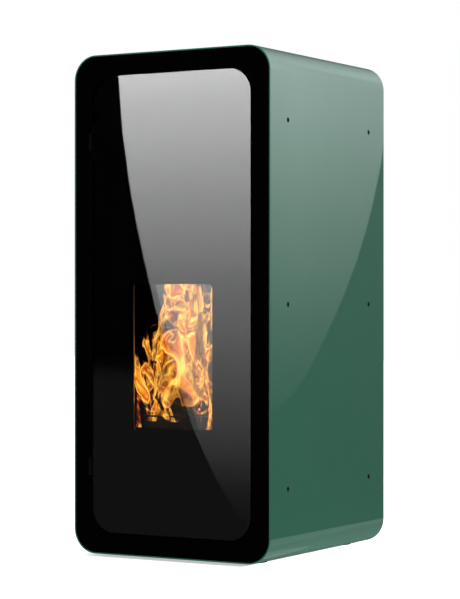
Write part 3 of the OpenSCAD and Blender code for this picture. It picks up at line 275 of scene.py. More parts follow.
@dataclass(frozen=True)
class BareMetal(Finish):
    """Uncoated metal: a tinted mirror blurred by the marks of how it was worked."""

    roughness: float
    blur: Pair = (-0.06, 0.08)
    grain: Grain = Grain.ROLLED
    grain_mm: float = 1.2
    grain_depth_mm: float = 0.02
    spangle_mm: float = 0.0
    tarnish: float = 0.08
    clouds_per_m: float = 25.0

    def build(self, tree: Tree, coords: Socket) -> Node:
        """Makes the metal's shader.

        Args:
            tree: The material's node tree.
            coords: Object coordinates, in metres.

        Returns:
            The shader.
        """
        base = linear(self.colour)
        stretch = add_node(tree, "Mapping", {"Scale": self.grain.value, "Vector": coords})
        marks = add_node(tree, "TexNoise", {
            "Scale": MM_PER_M / self.grain_mm, "Detail": 3.0, "Vector": stretch})
        if self.spangle_mm:
            crystals = add_node(tree, "TexVoronoi", {
                "Scale": MM_PER_M / self.spangle_mm, "Vector": coords})
            patches = crystals.outputs["Color"]
        else:
            patches = add_node(tree, "TexNoise", {
                "Scale": self.clouds_per_m, "Detail": 4.0, "Vector": coords})
        tint = add_node(tree, "ValToRGB", {"Fac": patches})
        set_ramp(tint, [(0.2, toned(base, 1 - self.tarnish)), (0.8, toned(base, 1 + self.tarnish))])
        edge = add_node(tree, "Bevel", {"samples": EDGE_SAMPLES, "Radius": EDGE_MM * MM})
        bump = add_node(tree, "Bump", {
            "Strength": 0.35, "Distance": self.grain_depth_mm * MM, "Height": marks,
            "Normal": edge})
        less, more = self.blur
        rough = add_node(tree, "MapRange", {
            "To Min": self.roughness + less, "To Max": self.roughness + more, "Value": marks})
        return add_node(tree, "BsdfPrincipled", {
            "Metallic": 1.0, "Base Color": tint, "Roughness": rough, "Normal": bump})


@dataclass(frozen=True)
class RoughSolid(Finish):
    """A grainy cast or pressed surface: pitted, with darker hollows and paler high spots."""

    pale: str
    roughness: float
    grain_mm: float
    depth_mm: float = 0.25
    metallic: float = 0.0
    patches_per_m: float = 14.0

    def build(self, tree: Tree, coords: Socket) -> Node:
        """Makes the grainy shader.

        Args:
            tree: The material's node tree.
            coords: Object coordinates, in metres.

        Returns:
            The shader.
        """
        grit = add_node(tree, "TexNoise", {
            "Scale": MM_PER_M / self.grain_mm, "Detail": 5.0, "Roughness": 0.6, "Vector": coords})
        patch = add_node(tree, "TexNoise", {
            "Scale": self.patches_per_m, "Detail": 4.0, "Vector": coords})
        both = add_node(tree, "Math", {"operation": "MULTIPLY", 0: grit, 1: patch})
        tint = add_node(tree, "ValToRGB", {"Fac": both})
        set_ramp(tint, [(0.12, linear(self.colour)), (0.42, linear(self.pale))])
        bump = add_node(tree, "Bump", {
            "Strength": 0.7, "Distance": self.depth_mm * MM, "Height": grit})
        return add_node(tree, "BsdfPrincipled", {
            "Metallic": self.metallic, "Roughness": self.roughness, "Base Color": tint,
            "Normal": bump})


@dataclass(frozen=True)
class Moulded(Finish):
    """Injection-moulded plastic: an even colour with a fine spark-eroded grain."""

    roughness: float = 0.45
    wear: float = 0.05
    grain_mm: float = 0.8
    grain_depth_mm: float = 0.03
    clouds_per_m: float = 30.0

    def build(self, tree: Tree, coords: Socket) -> Node:
        """Makes the plastic's shader.

        Args:
            tree: The material's node tree.
            coords: Object coordinates, in metres.

        Returns:
            The shader.
        """
        base = linear(self.colour)
        grain = add_node(tree, "TexVoronoi", {
            "Scale": MM_PER_M / self.grain_mm, "Vector": coords})
        cloud = add_node(tree, "TexNoise", {
            "Scale": self.clouds_per_m, "Detail": 2.0, "Vector": coords})
        tint = add_node(tree, "ValToRGB", {"Fac": cloud})
        set_ramp(tint, [(0.3, base), (0.8, toned(base, 1.25, 0.002))])
        bump = add_node(tree, "Bump", {
            "Strength": 0.3, "Distance": self.grain_depth_mm * MM, "Height": grain})
        rough = add_node(tree, "MapRange", {
            "To Min": self.roughness - self.wear, "To Max": self.roughness + self.wear,
            "Value": cloud})
        return add_node(tree, "BsdfPrincipled", {
            "IOR": 1.5, "Base Color": tint, "Roughness": rough, "Normal": bump})


@dataclass(frozen=True)
class ClearGlass(Finish):
    """Polished plate with blackened edges: clear, with hard reflections and a slight waviness."""

    ior: float = 1.52
    wave_mm: float = 60.0
    wave_depth_mm: float = 0.002
    haze: float = 0.015
    edge: str = "#020202"

    def build(self, tree: Tree, coords: Socket) -> Node:
        """Makes the glass's shader: clear on its two faces, and black on its edges.

        Args:
            tree: The material's node tree.
            coords: Object coordinates, in metres.

        Returns:
            The shader.
        """
        wave = add_node(tree, "TexNoise", {
            "Scale": MM_PER_M / self.wave_mm, "Detail": 1.0, "Vector": coords})
        bump = add_node(tree, "Bump", {
            "Strength": 0.1, "Distance": self.wave_depth_mm * MM, "Height": wave})
        film = add_node(tree, "MapRange", {"To Min": 0.0, "To Max": self.haze, "Value": wave})
        pane = add_node(tree, "BsdfPrincipled", {
            "Base Color": linear(self.colour), "Transmission Weight": 1.0, "IOR": self.ior,
            "Roughness": film, "Normal": bump})
        ground = add_node(tree, "BsdfDiffuse", {"Color": linear(self.edge)})
        normal = add_node(tree, "TexCoord").outputs["Normal"]
        facing = add_node(tree, "SeparateXYZ", {"Vector": normal})
        flat = add_node(tree, "Math", {"operation": "ABSOLUTE", 0: facing.outputs["Y"]})
        face = add_node(tree, "Math", {"operation": "GREATER_THAN", 0: flat, 1: 0.5})
        return add_node(tree, "MixShader", {0: face, 1: ground, 2: pane})


@dataclass(frozen=True)
class Braided(Finish):
    """Glass-fibre rope: pale strands that cross over each other, with painted shade in the gaps."""

    # The real strands are about 2.4 mm wide. They are drawn twice as coarse, so that they show.
    strand_mm: float = 4.735
    strand_depth_mm: float = 0.5
    slant: float = 0.785
    # The painted shade deep in the gaps between the strands.
    gap: str = "#4a463f"

    def build(self, tree: Tree, coords: Socket) -> Node:
        """Makes the rope's shader.

        Args:
            tree: The material's node tree.
            coords: Object coordinates, in metres.

        Returns:
            The shader.
        """
        strands = []
        for turn in (self.slant, -self.slant):
            turned = add_node(tree, "Mapping", {"Rotation": (turn, 0.0, turn), "Vector": coords})
            wave = add_node(tree, "TexWave", {
                "Scale": WAVE_PERIOD / (self.strand_mm * MM), "Distortion": 0.4, "Vector": turned})
            strands.append(wave.outputs["Fac"])
        cross = add_node(tree, "Math", {"operation": "MAXIMUM", 0: strands[0], 1: strands[1]})
        # Painted shade: the low gaps of the braid get the darker gap colour.
        tint = add_node(tree, "ValToRGB", {"Fac": cross})
        set_ramp(tint, [(0.2, linear(self.gap)), (0.8, linear(self.colour))])
        bump = add_node(tree, "Bump", {
            "Strength": 1.0, "Distance": self.strand_depth_mm * MM, "Height": cross})
        return add_node(tree, "BsdfPrincipled", {
            "Roughness": 0.85, "Sheen Weight": 0.3, "Base Color": tint, "Normal": bump})


@dataclass(frozen=True)
class Glowing(Finish):
    """Something that burns: hot cracks between cooler crusts, seen by their own light."""

    crust: str = "#15100d"
    warm: str = "#c02800"
    hot: str = "#ffb040"
    strength: float = 5.0
    crack_mm: float = 7.0

    def build(self, tree: Tree, coords: Socket) -> Node:
        """Makes the ember's shader.

        Args:
            tree: The material's node tree.
            coords: Object coordinates, in metres.

        Returns:
            The shader.
        """
        heat = add_node(tree, "TexNoise", {
            "Scale": MM_PER_M / self.crack_mm, "Detail": 4.0, "Distortion": 0.6, "Vector": coords})
        crust = add_node(tree, "ValToRGB", {"Fac": heat})
        set_ramp(crust, [(0.35, linear(self.crust)), (0.7, linear(self.colour))])
        glow = add_node(tree, "ValToRGB", {"Fac": heat})
        set_ramp(glow, [
            (0.4, linear("#000000")), (0.55, linear(self.warm)), (0.72, linear(self.hot))])
        return add_node(tree, "BsdfPrincipled", {
            "Roughness": 0.9, "Emission Strength": self.strength, "Base Color": crust,
            "Emission Color": glow})


@dataclass(frozen=True)
class Flame(Finish):
    """Burning gas: no surface of its own, only light, torn into licks with bright rims."""

    lick_mm: float
    seed: float
    seed_up: float = 0.7
    stretch: Point = (1.0, 0.3, 0.52)
    swirl_scale: float = 0.45
    swirl_push: Point = (0.14, 0.0, 0.08)
    fold_scale: float = 1.3
    strength: float = 1.5
    cover: float = 0.94
    thread: str = "#ffd466"
    thread_width: float = 0.02
    thread_share: float = 0.8

    def heat_colours(self) -> list[tuple[float, Colour]]:
        """Lists the colours from the cool rim of a lick, through its body, to its hottest folds."""
        return [(place, linear(colour)) for place, colour in (
            (0.43, "#1e0400"), (0.468, "#8e2a06"), (0.496, "#f59a34"), (0.508, "#ffd468"),
            (0.53, self.colour), (0.59, "#a03c06"), (0.66, "#f59a2c"), (0.76, "#ffdc74"))]

    def build(self, tree: Tree, coords: Socket) -> Node:
        """Makes the flame's shader. The mesh attribute lean says where the flame thins out.

        Args:
            tree: The material's node tree.
            coords: Object coordinates, in metres.

        Returns:
            The shader.
        """
        scale = MM_PER_M / self.lick_mm
        place = add_node(tree, "Mapping", {
            "Location": (self.seed, 0.0, self.seed * self.seed_up), "Scale": self.stretch,
            "Vector": coords})
        swirl = add_node(tree, "TexNoise", {
            "Scale": scale * self.swirl_scale, "Detail": 2.0, "Vector": place}).outputs["Color"]
        bend = add_node(tree, "VectorMath", {
            "operation": "MULTIPLY_ADD", 0: swirl, 1: self.swirl_push, 2: place})
        licks = add_node(tree, "TexNoise", {
            "Scale": scale, "Detail": 4.0, "Roughness": 0.48, "Distortion": 0.8, "Vector": bend})
        folds = add_node(tree, "TexNoise", {
            "Scale": scale * self.fold_scale, "Detail": 2.0, "Roughness": 0.45,
            "Distortion": 1.0, "Vector": bend})
        lean = add_node(tree, "Attribute", {"attribute_name": "lean"}).outputs["Fac"]
        heat = add_node(tree, "Math", {"operation": "ADD", 0: licks, 1: lean})
        glow = add_node(tree, "ValToRGB", {"Fac": heat})
        set_ramp(glow, self.heat_colours())
        # Thin bright threads run where the folds cross their middle value.
        off = add_node(tree, "Math", {"operation": "SUBTRACT", 0: folds, 1: 0.5})
        near = add_node(tree, "Math", {"operation": "ABSOLUTE", 0: off})
        thread = add_node(tree, "MapRange", {
            "From Min": 0.0, "From Max": self.thread_width, "To Min": self.thread_share,
            "To Max": 0.0, "Value": near})
        lit = add_node(tree, "MixRGB", {
            "Color2": linear(self.thread), "Fac": thread, "Color1": glow})
        depth = add_node(tree, "MapRange", {
            "From Min": 0.36, "From Max": 0.6, "To Min": 0.2, "To Max": 1.45, "Value": folds})
        power = add_node(tree, "Math", {"operation": "MULTIPLY", 0: depth, 1: self.strength})
        cover = add_node(tree, "MapRange", {
            "From Min": 0.43, "From Max": 0.51, "To Max": self.cover, "Value": heat})
        light = add_node(tree, "Emission", {"Color": lit, "Strength": power})
        clear = add_node(tree, "BsdfTransparent")
        return add_node(tree, "MixShader", {0: cover, 1: clear, 2: light})


# Green polyester powder coat on the casings and the lid: a deep grey-green that reflects softly.
GREEN_COAT = Coating("green_powder_coat", "#124e3a", roughness=0.5, specular=0.25, coat=1.0,
                     coat_roughness=0.012, variation=0.03, peel_depth_mm=0.0008)
# Matt black enamel of the front surround and the hinges: it swallows light, with no reflection.
BLACK_COAT = Coating("matt_black_enamel", "#010101", roughness=0.8, specular=0.004, variation=0.15)
# Matt black heat-resistant paint on the rear panel and the tray: dark grey, a little dusty.
HEAT_PAINT = Coating("black_heat_paint", "#1b1b1c", roughness=0.7, specular=0.3, variation=0.2,
                     peel_depth_mm=0.03)
# The same paint where the fire reaches it: black with soot, darker still as painted shade in the
# door's slot.
SOOT_AND_SHADE_PAINT = Coating("soot_and_shade_paint", "#050505", roughness=0.85, specular=0.02, variation=0.3,
                      peel_depth_mm=0.08)
# Black ceramic print on the back of the glass: opaque and deep black.
CERAMIC_PRINT = Coating("black_ceramic_print", "#020202", roughness=0.5, specular=0.02,
                        variation=0.1)
# Red stoving enamel on the vessel and the pump: a warm gloss red.
RED_COAT = Coating("red_enamel", "#a01d18", roughness=0.28, coat=0.4)
# Pale grey paint on the electronics box: clean and even.
GREY_COAT = Coating("grey_paint", "#c3c6c2", roughness=0.4)
# Blackened steel of screws, pins and feet: almost black with a slight shine.
BLACK_OXIDE = Coating("black_oxide", "#050505", roughness=0.55, specular=0.05)
# Dark acrylic window over the display: smooth and almost black with a green cast.
DISPLAY_WINDOW = Coating("dark_acrylic", "#0d1512", roughness=0.12, coat=0.6, peel_depth_mm=0.001)
# Galvanised sheet: a bluish grey with large crystals.
ZINC_SHEET = BareMetal("galvanised_sheet", "#b4b8bb", roughness=0.36, spangle_mm=9.0, tarnish=0.14)
# Turned steel of pins, rods and the auger: bright, with fine tool marks round it.
TURNED_STEEL = BareMetal("turned_steel", "#a6a7a9", roughness=0.25, grain=Grain.TURNED,
                         grain_mm=0.6)
# Brushed stainless strip that holds the fire glass: a warm grey with long brush marks.
BRUSHED_STEEL = BareMetal("brushed_stainless", "#b0aca6", roughness=0.3, grain=Grain.BRUSHED_UP,
                          grain_mm=0.7)
# Steel round the fire: browned and dulled by heat.
SCALED_STEEL = BareMetal("heat_scaled_steel", "#3f3731", roughness=0.55, grain_mm=2.5, tarnish=0.35)
# Cast and pressed aluminium of the fan and motors: a light, soft grey.
CAST_ALUMINIUM = BareMetal("cast_aluminium", "#c2c4c6", roughness=0.45, grain_mm=1.6)
# Machined brass of the water pipes and valves: yellow, slightly tarnished.
MACHINED_BRASS = BareMetal("machined_brass", "#d2a24c", roughness=0.24, tarnish=0.16)
# Bare grey cast iron: almost black, sandy and dull.
SAND_CAST_IRON = RoughSolid("sand_cast_iron", "#1a1a1b", pale="#3a3a3b", roughness=0.62,
                            grain_mm=1.4, metallic=0.6)
# Vermiculite board behind the fire: pale brown flakes, blackened by soot.
VERMICULITE = RoughSolid("vermiculite_board", "#15100c", pale="#4a3a2b", roughness=0.92,
                         grain_mm=3.0, depth_mm=0.5)
# Moulded black plastic of knobs and sockets: dark, with a dull shine.
BLACK_PLASTIC = Moulded("black_moulded_plastic", "#151516")
# Moulded grey plastic of the buttons: smoother, so it catches a small highlight.
BUTTON_PLASTIC = Moulded("grey_button_plastic", "#5c5e60", roughness=0.3)
# Pale print on the buttons: even and almost white.
MARK_PRINT = Moulded("pale_print", "#d8dad9", roughness=0.5)
# Tempered front glass: nearly colourless.
FRONT_GLASS = ClearGlass("tempered_glass", "#f6f9f8")
# Glass ceramic of the fire window: a faint amber tint.
FIRE_GLASS = ClearGlass("glass_ceramic", "#fbf3e6", ior=1.54)
# Braided glass-fibre rope round the fire opening: off-white, with painted shade between its
# strands.
ROPE = Braided("glass_fibre_rope", "#b5aea2")
# Burning pellets: black crusts with orange cracks.
EMBERS = Glowing("glowing_embers", "#3a2418")


def deselect() -> None:
    """Leaves edit mode and deselects everything."""
    if bpy.context.mode != "OBJECT":
        bpy.ops.object.mode_set(mode="OBJECT")
    bpy.ops.object.select_all(action="DESELECT")


def select_only(piece: Piece) -> None:
    """Selects one object and makes it the active one.

    Args:
        piece: The object.
    """
    deselect()
    piece.select_set(True)
    bpy.context.view_layer.objects.active = piece


def named(name: str) -> Piece:
    """Names the active object, which was just made, and its mesh.

    Args:
        name: The piece's name.

    Returns:
        The object.
    """
    made = bpy.context.active_object
    made.name = name
    made.data.name = name
    return made


def settle(piece: Piece) -> Piece:
    """Moves a piece's place and turn into its mesh, so that its object sits at the origin.

    Args:
        piece: A mesh object.

    Returns:
        The same object.
    """
    select_only(piece)
    bpy.ops.object.transform_apply(location=True, rotation=True, scale=True)
    return piece


def pick_faces(piece: Piece, test: Callable[[bpy.types.MeshPolygon], bool]) -> None:
    """Enters edit mode with only the faces selected that pass a test.

    Args:
        piece: A mesh object.
        test: Says of each face whether it is wanted.
    """
    select_only(piece)
    bpy.ops.object.mode_set(mode="EDIT")
    bpy.ops.mesh.select_mode(type="FACE")
    bpy.ops.mesh.select_all(action="DESELECT")
    bpy.ops.object.mode_set(mode="OBJECT")
    for face in piece.data.polygons:
        face.select = test(face)
    bpy.ops.object.mode_set(mode="EDIT")


def round_edges(piece: Piece, width: float, segments: int = 2) -> Piece:
    """Rounds a piece's sharp edges.

    Args:
        piece: A mesh object.
        width: How far the rounding reaches from each edge, in metres.
        segments: How many strips make up the rounding.

    Returns:
        The same object.
    """
    select_only(piece)
    bevel = piece.modifiers.new("rounding", "BEVEL")
    bevel.width = width
    bevel.segments = segments
    bevel.limit_method = "ANGLE"
    bpy.ops.object.modifier_apply(modifier=bevel.name)
    bpy.ops.object.shade_smooth_by_angle(angle=math.radians(SMOOTH_DEG))
    return piece


def slab(name: str, centre: Point, size: Point, rounding: float) -> Piece:
    """Models a small block with rounded edges.

    Args:
        name: The piece's name.
        centre: Its middle, in metres.
        size: Its extent along X, Y and Z.
        rounding: The width of its edges' rounding.

    Returns:
        The block.
    """
    deselect()
    bpy.ops.mesh.primitive_cube_add(size=1.0, location=centre)
    piece = named(name)
    piece.scale = size
    return round_edges(settle(piece), rounding)


def copies(model: Piece, name: str, places: Iterable[Matrix]) -> Piece:
    """Copies a finished model to many places and joins the copies into one piece.

    Args:
        model: The model, at the origin; it is used up.
        name: The joined piece's name.
        places: Where each copy goes, and how it is turned.

    Returns:
        The joined piece.
    """
    made = []
    for place in places:
        copy = model.copy()
        copy.data = model.data.copy()
        copy.matrix_world = place
        bpy.context.scene.collection.objects.link(copy)
        made.append(copy)
    bpy.data.objects.remove(model)
    deselect()
    for copy in made:
        copy.select_set(True)
    bpy.context.view_layer.objects.active = made[0]
    bpy.ops.object.join()
    return named(name)


@dataclass
class Dresser:
    """Common to the sub-assemblies: reaches the CAD nodes and reports what is made."""

    frame: dict[str, Any]

    def finish_nodes(self, finishes: dict[Finish, tuple[str, ...]]) -> None:
        """Gives each named CAD node its finish.

        Args:
            finishes: The node names for each finish.
        """
        for finish, names in finishes.items():
            finish.dress(*[self.frame["nodes"][name] for name in names])
            LOG.info("%s on %s", finish.name, ", ".join(names))

    def keep(self, piece: Piece, finish: Finish, body: str = "cabinet") -> Piece:
        """Finishes a new piece and ties it to its body.

        Args:
            piece: The new mesh object, in its place.
            finish: What it is made of.
            body: The body it rides on.

        Returns:
            The same object.
        """
        settle(piece)
        finish.dress(piece)
        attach(piece, body)
        LOG.info("made %s", piece.name)
        return piece


@dataclass
class Casing(Dresser):
    """Painted outer shell, its frame posts, feet and screws."""

    screw_r_mm: float = 4.2
    screw_head_mm: float = 2.2
    screw_sides: int = 24
    dome_mm: float = 0.7
    dome_strips: int = 3
    socket_rim_mm: float = 1.2
    socket_depth_mm: float = 1.2
    screw_edge_mm: float = 9.0
    screw_heights_mm: tuple[float, ...] = (80.0, 330.0, 580.0, 830.0, 1075.0)

    def build(self) -> None:
        """Dresses the shell."""
        self.finish_nodes({
            GREEN_COAT: ("left_casing", "right_casing", "top_cover"),
            BLACK_COAT: ("front_frame", "hinge_brackets"),
            HEAT_PAINT: ("rear_panel", "base_tray"),
            ZINC_SHEET: ("front_posts", "rear_posts", "door_catch"),
            BLACK_OXIDE: ("casing_screws", "levelling_feet", "hinge_pins"),
            TURNED_STEEL: ("lid_hinge_pin",),
        })
        self.panel_screws()

    def panel_screws(self) -> Piece:
        """Models the domed socket screws along both edges of the rear panel.

        Returns:
            The screws.
        """
        deselect()
        bpy.ops.mesh.primitive_cylinder_add(
            vertices=self.screw_sides, radius=self.screw_r_mm * MM, depth=self.screw_head_mm * MM)
        screw = named("panel_screw")
        round_edges(screw, self.dome_mm * MM, self.dome_strips)
        pick_faces(screw, lambda face: face.normal.z > FLAT)
        bpy.ops.mesh.inset(thickness=self.socket_rim_mm * MM)
        bpy.ops.mesh.extrude_region_move(
            TRANSFORM_OT_translate={"value": (0.0, 0.0, -self.socket_depth_mm * MM)})
        deselect()
        low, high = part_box("rear_panel")
        edge, stand = self.screw_edge_mm * MM, self.screw_head_mm / 2 * MM
        turn = Euler((-math.pi / 2, 0.0, 0.0)).to_matrix().to_4x4()
        places = [Matrix.Translation((x, high[1] + stand, z * MM)) @ turn
                  for x in (low[0] + edge, high[0] - edge) for z in self.screw_heights_mm]
        return self.keep(copies(screw, "panel_screws", places), BLACK_OXIDE)


@dataclass
class FrontDoor(Dresser):
    """Glass door with its mask, steel panel, fire glass and seal."""

    def build(self) -> None:
        """Dresses the door."""
        self.finish_nodes({
            FRONT_GLASS: ("door_glass",),
            CERAMIC_PRINT: ("glass_mask",),
            # Painted shade: this near-black paint stands in for the shade where the panel shows in
            # the slot beside the glass.
            SOOT_AND_SHADE_PAINT: ("door_panel",),
            FIRE_GLASS: ("fire_glass",),
            BRUSHED_STEEL: ("glass_retainer",),
            ROPE: ("door_seal",),
        })


@dataclass(frozen=True)
class PelletHeap:
    """The burning pellets' size, and how they lie in layers that narrow upwards."""

    # One pellet: a rod whose two ends are inset by the rim and pushed out by the swell.
    radius_mm: float = 3.0
    length_mm: float = 15.0
    sides: int = 9
    rim_mm: float = 0.9
    swell: float = 1.07
    # The heap: where it stands, and how each layer has fewer pellets on a smaller square.
    floor_mm: float = 297.0
    middle_y_mm: float = -120.0
    layers: int = 6
    layer_mm: float = 6.6
    spread_mm: float = 38.0
    taper_mm: float = 3.0
    count: int = 44
    fewer: int = 5
    # Chance: how far a pellet tilts, in radians, and rises, and what the draws start from.
    tilt: float = 0.5
    jitter_mm: float = 2.0
    seed: int = 11


@dataclass(frozen=True)
class FlameSheets:
    """The flame sheets' sizes, how each differs from the one before it, and how they thin out.

    Heights and places across are shares of a sheet's own height and half width.
    """

    # The sheets' mesh and place, from the front one back.
    count: int = 5
    rows: int = 30
    columns: int = 36
    width_mm: float = 280.0
    low_mm: float = 298.0
    low_step_mm: float = 4.0
    high_mm: float = 650.0
    high_step_mm: float = -14.0
    front_mm: float = -246.0
    pitch_mm: float = 16.0
    # How they wave: how far, and by how many radians over a sheet's height and half width.
    bow_up_mm: float = 4.0
    bow_up_turns: float = 9.0
    bow_across_mm: float = 3.0
    bow_across_turns: float = 5.0
    # Their pattern: the licks' size, and how each sheet's pattern differs from the last one's.
    lick_mm: float = 58.0
    lick_step_mm: float = -5.0
    seed_step: float = 0.37
    phase_step: float = 1.7
    colour: str = "#ee8f26"
    # Where they thin out: over the crest, which slopes down to the left, at the foot and the sides.
    fullness: float = -0.05
    crest: float = 0.76
    slope: float = 0.40
    slope_middle: float = -0.45
    slope_sharpness: float = 3.0
    ripple: float = 0.06
    ripple_turns: float = 7.0
    fall: float = 1.1
    foot: float = 0.28
    foot_loss: float = 0.10
    side: float = 0.08
    side_loss: float = 0.5

    def bow(self, across: float, up: float, phase: float) -> float:
        """Says how far a point of a sheet stands off its plane, in metres."""
        rising = self.bow_up_mm * MM * math.sin(self.bow_up_turns * up + phase)
        return rising + self.bow_across_mm * MM * math.sin(self.bow_across_turns * across + phase)

    def lean(self, across: float, up: float, phase: float) -> float:
        """Says how much thinner than its body a sheet is at one point.

        Args:
            across: The place across, from -1 to 1.
            up: The height, from 0 to 1.
            phase: Makes each sheet's crest ripple in another place.

        Returns:
            What is added to the flame's heat there; below zero is thinner.
        """
        slope = self.slope * math.tanh(self.slope_sharpness * (across - self.slope_middle))
        ripple = self.ripple * math.sin(self.ripple_turns * across + phase)
        fall = min(0.0, (self.crest + slope + ripple - up) * self.fall)
        foot = -self.foot_loss * max(0.0, 1 - up / self.foot)
        side = -self.side_loss * max(0.0, abs(across) - (1 - self.side)) / self.side
        return self.fullness + fall + foot + side


@dataclass
class Fire(Dresser):
    """Boiler, burner pot, ash drawer and the fire itself."""

    heap: PelletHeap = PelletHeap()
    flames: FlameSheets = FlameSheets()

    def build(self) -> None:
        """Dresses the fire side and lights the fire."""
        self.finish_nodes({
            SOOT_AND_SHADE_PAINT: ("boiler_body",),
            VERMICULITE: ("firebox_liner",),
            SCALED_STEEL: ("pot_cradle", "igniter", "drawer_runners"),
            ZINC_SHEET: ("ash_drawer", "smoke_box"),
            SAND_CAST_IRON: ("burner_pot", "cleaning_cover"),
            BLACK_PLASTIC: ("cover_nuts",),
            TURNED_STEEL: ("turbulators", "scraper_rod"),
        })
        self.fuel_bed()
        for index in range(self.flames.count):
            self.flame_sheet(index)

    def fuel_bed(self) -> Piece:
        """Models the burning pellets in the pot: one pellet, copied into a loose heap.

        Returns:
            The heap.
        """
        heap = self.heap
        deselect()
        bpy.ops.mesh.primitive_cylinder_add(
            vertices=heap.sides, radius=heap.radius_mm * MM, depth=heap.length_mm * MM)
        pellet = named("burning_pellet")
        pick_faces(pellet, lambda face: abs(face.normal.z) > FLAT)
        bpy.ops.mesh.inset(thickness=heap.rim_mm * MM)
        bpy.ops.transform.resize(value=(1.0, 1.0, heap.swell))
        deselect()
        chance = random.Random(heap.seed)
        low, middle = (heap.floor_mm + heap.radius_mm) * MM, heap.middle_y_mm * MM
        places = []
        for layer in range(heap.layers):
            spread = (heap.spread_mm - heap.taper_mm * layer) * MM
            for _ in range(heap.count - heap.fewer * layer):
                x, y = chance.uniform(-spread, spread), chance.uniform(-spread, spread)
                tilt = math.pi / 2 + chance.uniform(-heap.tilt, heap.tilt)
                turn = Euler((tilt, 0.0, chance.uniform(0.0, math.pi))).to_matrix().to_4x4()
                rise = heap.layer_mm * MM * layer + chance.uniform(0.0, heap.jitter_mm * MM)
                places.append(Matrix.Translation((x, middle + y, low + rise)) @ turn)
        return self.keep(copies(pellet, "burning_pellets", places), EMBERS, "burner_pot")

    def flame_sheet(self, index: int) -> Piece:
        """Models one hanging sheet of flame: a bowed grid that is thinner at its edges.

        Args:
            index: Counts the sheets from the front.

        Returns:
            The sheet.
        """
        flames = self.flames
        low = (flames.low_mm + flames.low_step_mm * index) * MM
        high = (flames.high_mm + flames.high_step_mm * index) * MM
        depth = (flames.front_mm + flames.pitch_mm * index) * MM
        width = flames.width_mm * MM
        phase = flames.phase_step * index
        deselect()
        bpy.ops.mesh.primitive_grid_add(
            x_subdivisions=flames.columns, y_subdivisions=flames.rows, size=1.0,
            location=(0.0, depth, (low + high) / 2), rotation=(math.pi / 2, 0.0, 0.0))
        sheet = named(f"flame_sheet_{index + 1}")
        sheet.scale = (width, high - low, 1.0)
        settle(sheet)
        lean = sheet.data.attributes.new("lean", "FLOAT", "POINT")
        values = []
        for vertex in sheet.data.vertices:
            across, up = vertex.co.x / (width / 2), (vertex.co.z - low) / (high - low)
            vertex.co.y += flames.bow(across, up, phase)
            values.append(flames.lean(across, up, phase))
        lean.data.foreach_set("value", values)
        finish = Flame(f"flame_{index + 1}", flames.colour, seed=flames.seed_step * (index + 1),
                       lick_mm=flames.lick_mm + flames.lick_step_mm * index)
        return self.keep(sheet, finish)


@dataclass
class Fuel(Dresser):
    """Hopper, lid, auger and chute."""

    def build(self) -> None:
        """Dresses the fuel side."""
        self.finish_nodes({
            GREEN_COAT: ("hopper_lid",),
            ZINC_SHEET: ("hopper", "auger_tube", "drop_chute"),
            TURNED_STEEL: ("hopper_grille", "auger_screw"),
            CAST_ALUMINIUM: ("gearmotor",),
        })


@dataclass
class Draught(Dresser):
    """Flue duct, fan and air intake."""

    def build(self) -> None:
        """Dresses the draught side."""
        self.finish_nodes({
            ZINC_SHEET: ("exhaust_duct", "air_intake_pipe"),
            CAST_ALUMINIUM: ("fan_housing", "fan_impeller", "fan_motor"),
            SAND_CAST_IRON: ("flue_spigot",),
        })


@dataclass
class Water(Dresser):
    """Pump, pipes, vessel and valves."""

    def build(self) -> None:
        """Dresses the water side."""
        self.finish_nodes({
            RED_COAT: ("circulation_pump", "expansion_vessel"),
            MACHINED_BRASS: ("return_pipe", "flow_pipe", "safety_valve", "air_vent"),
        })


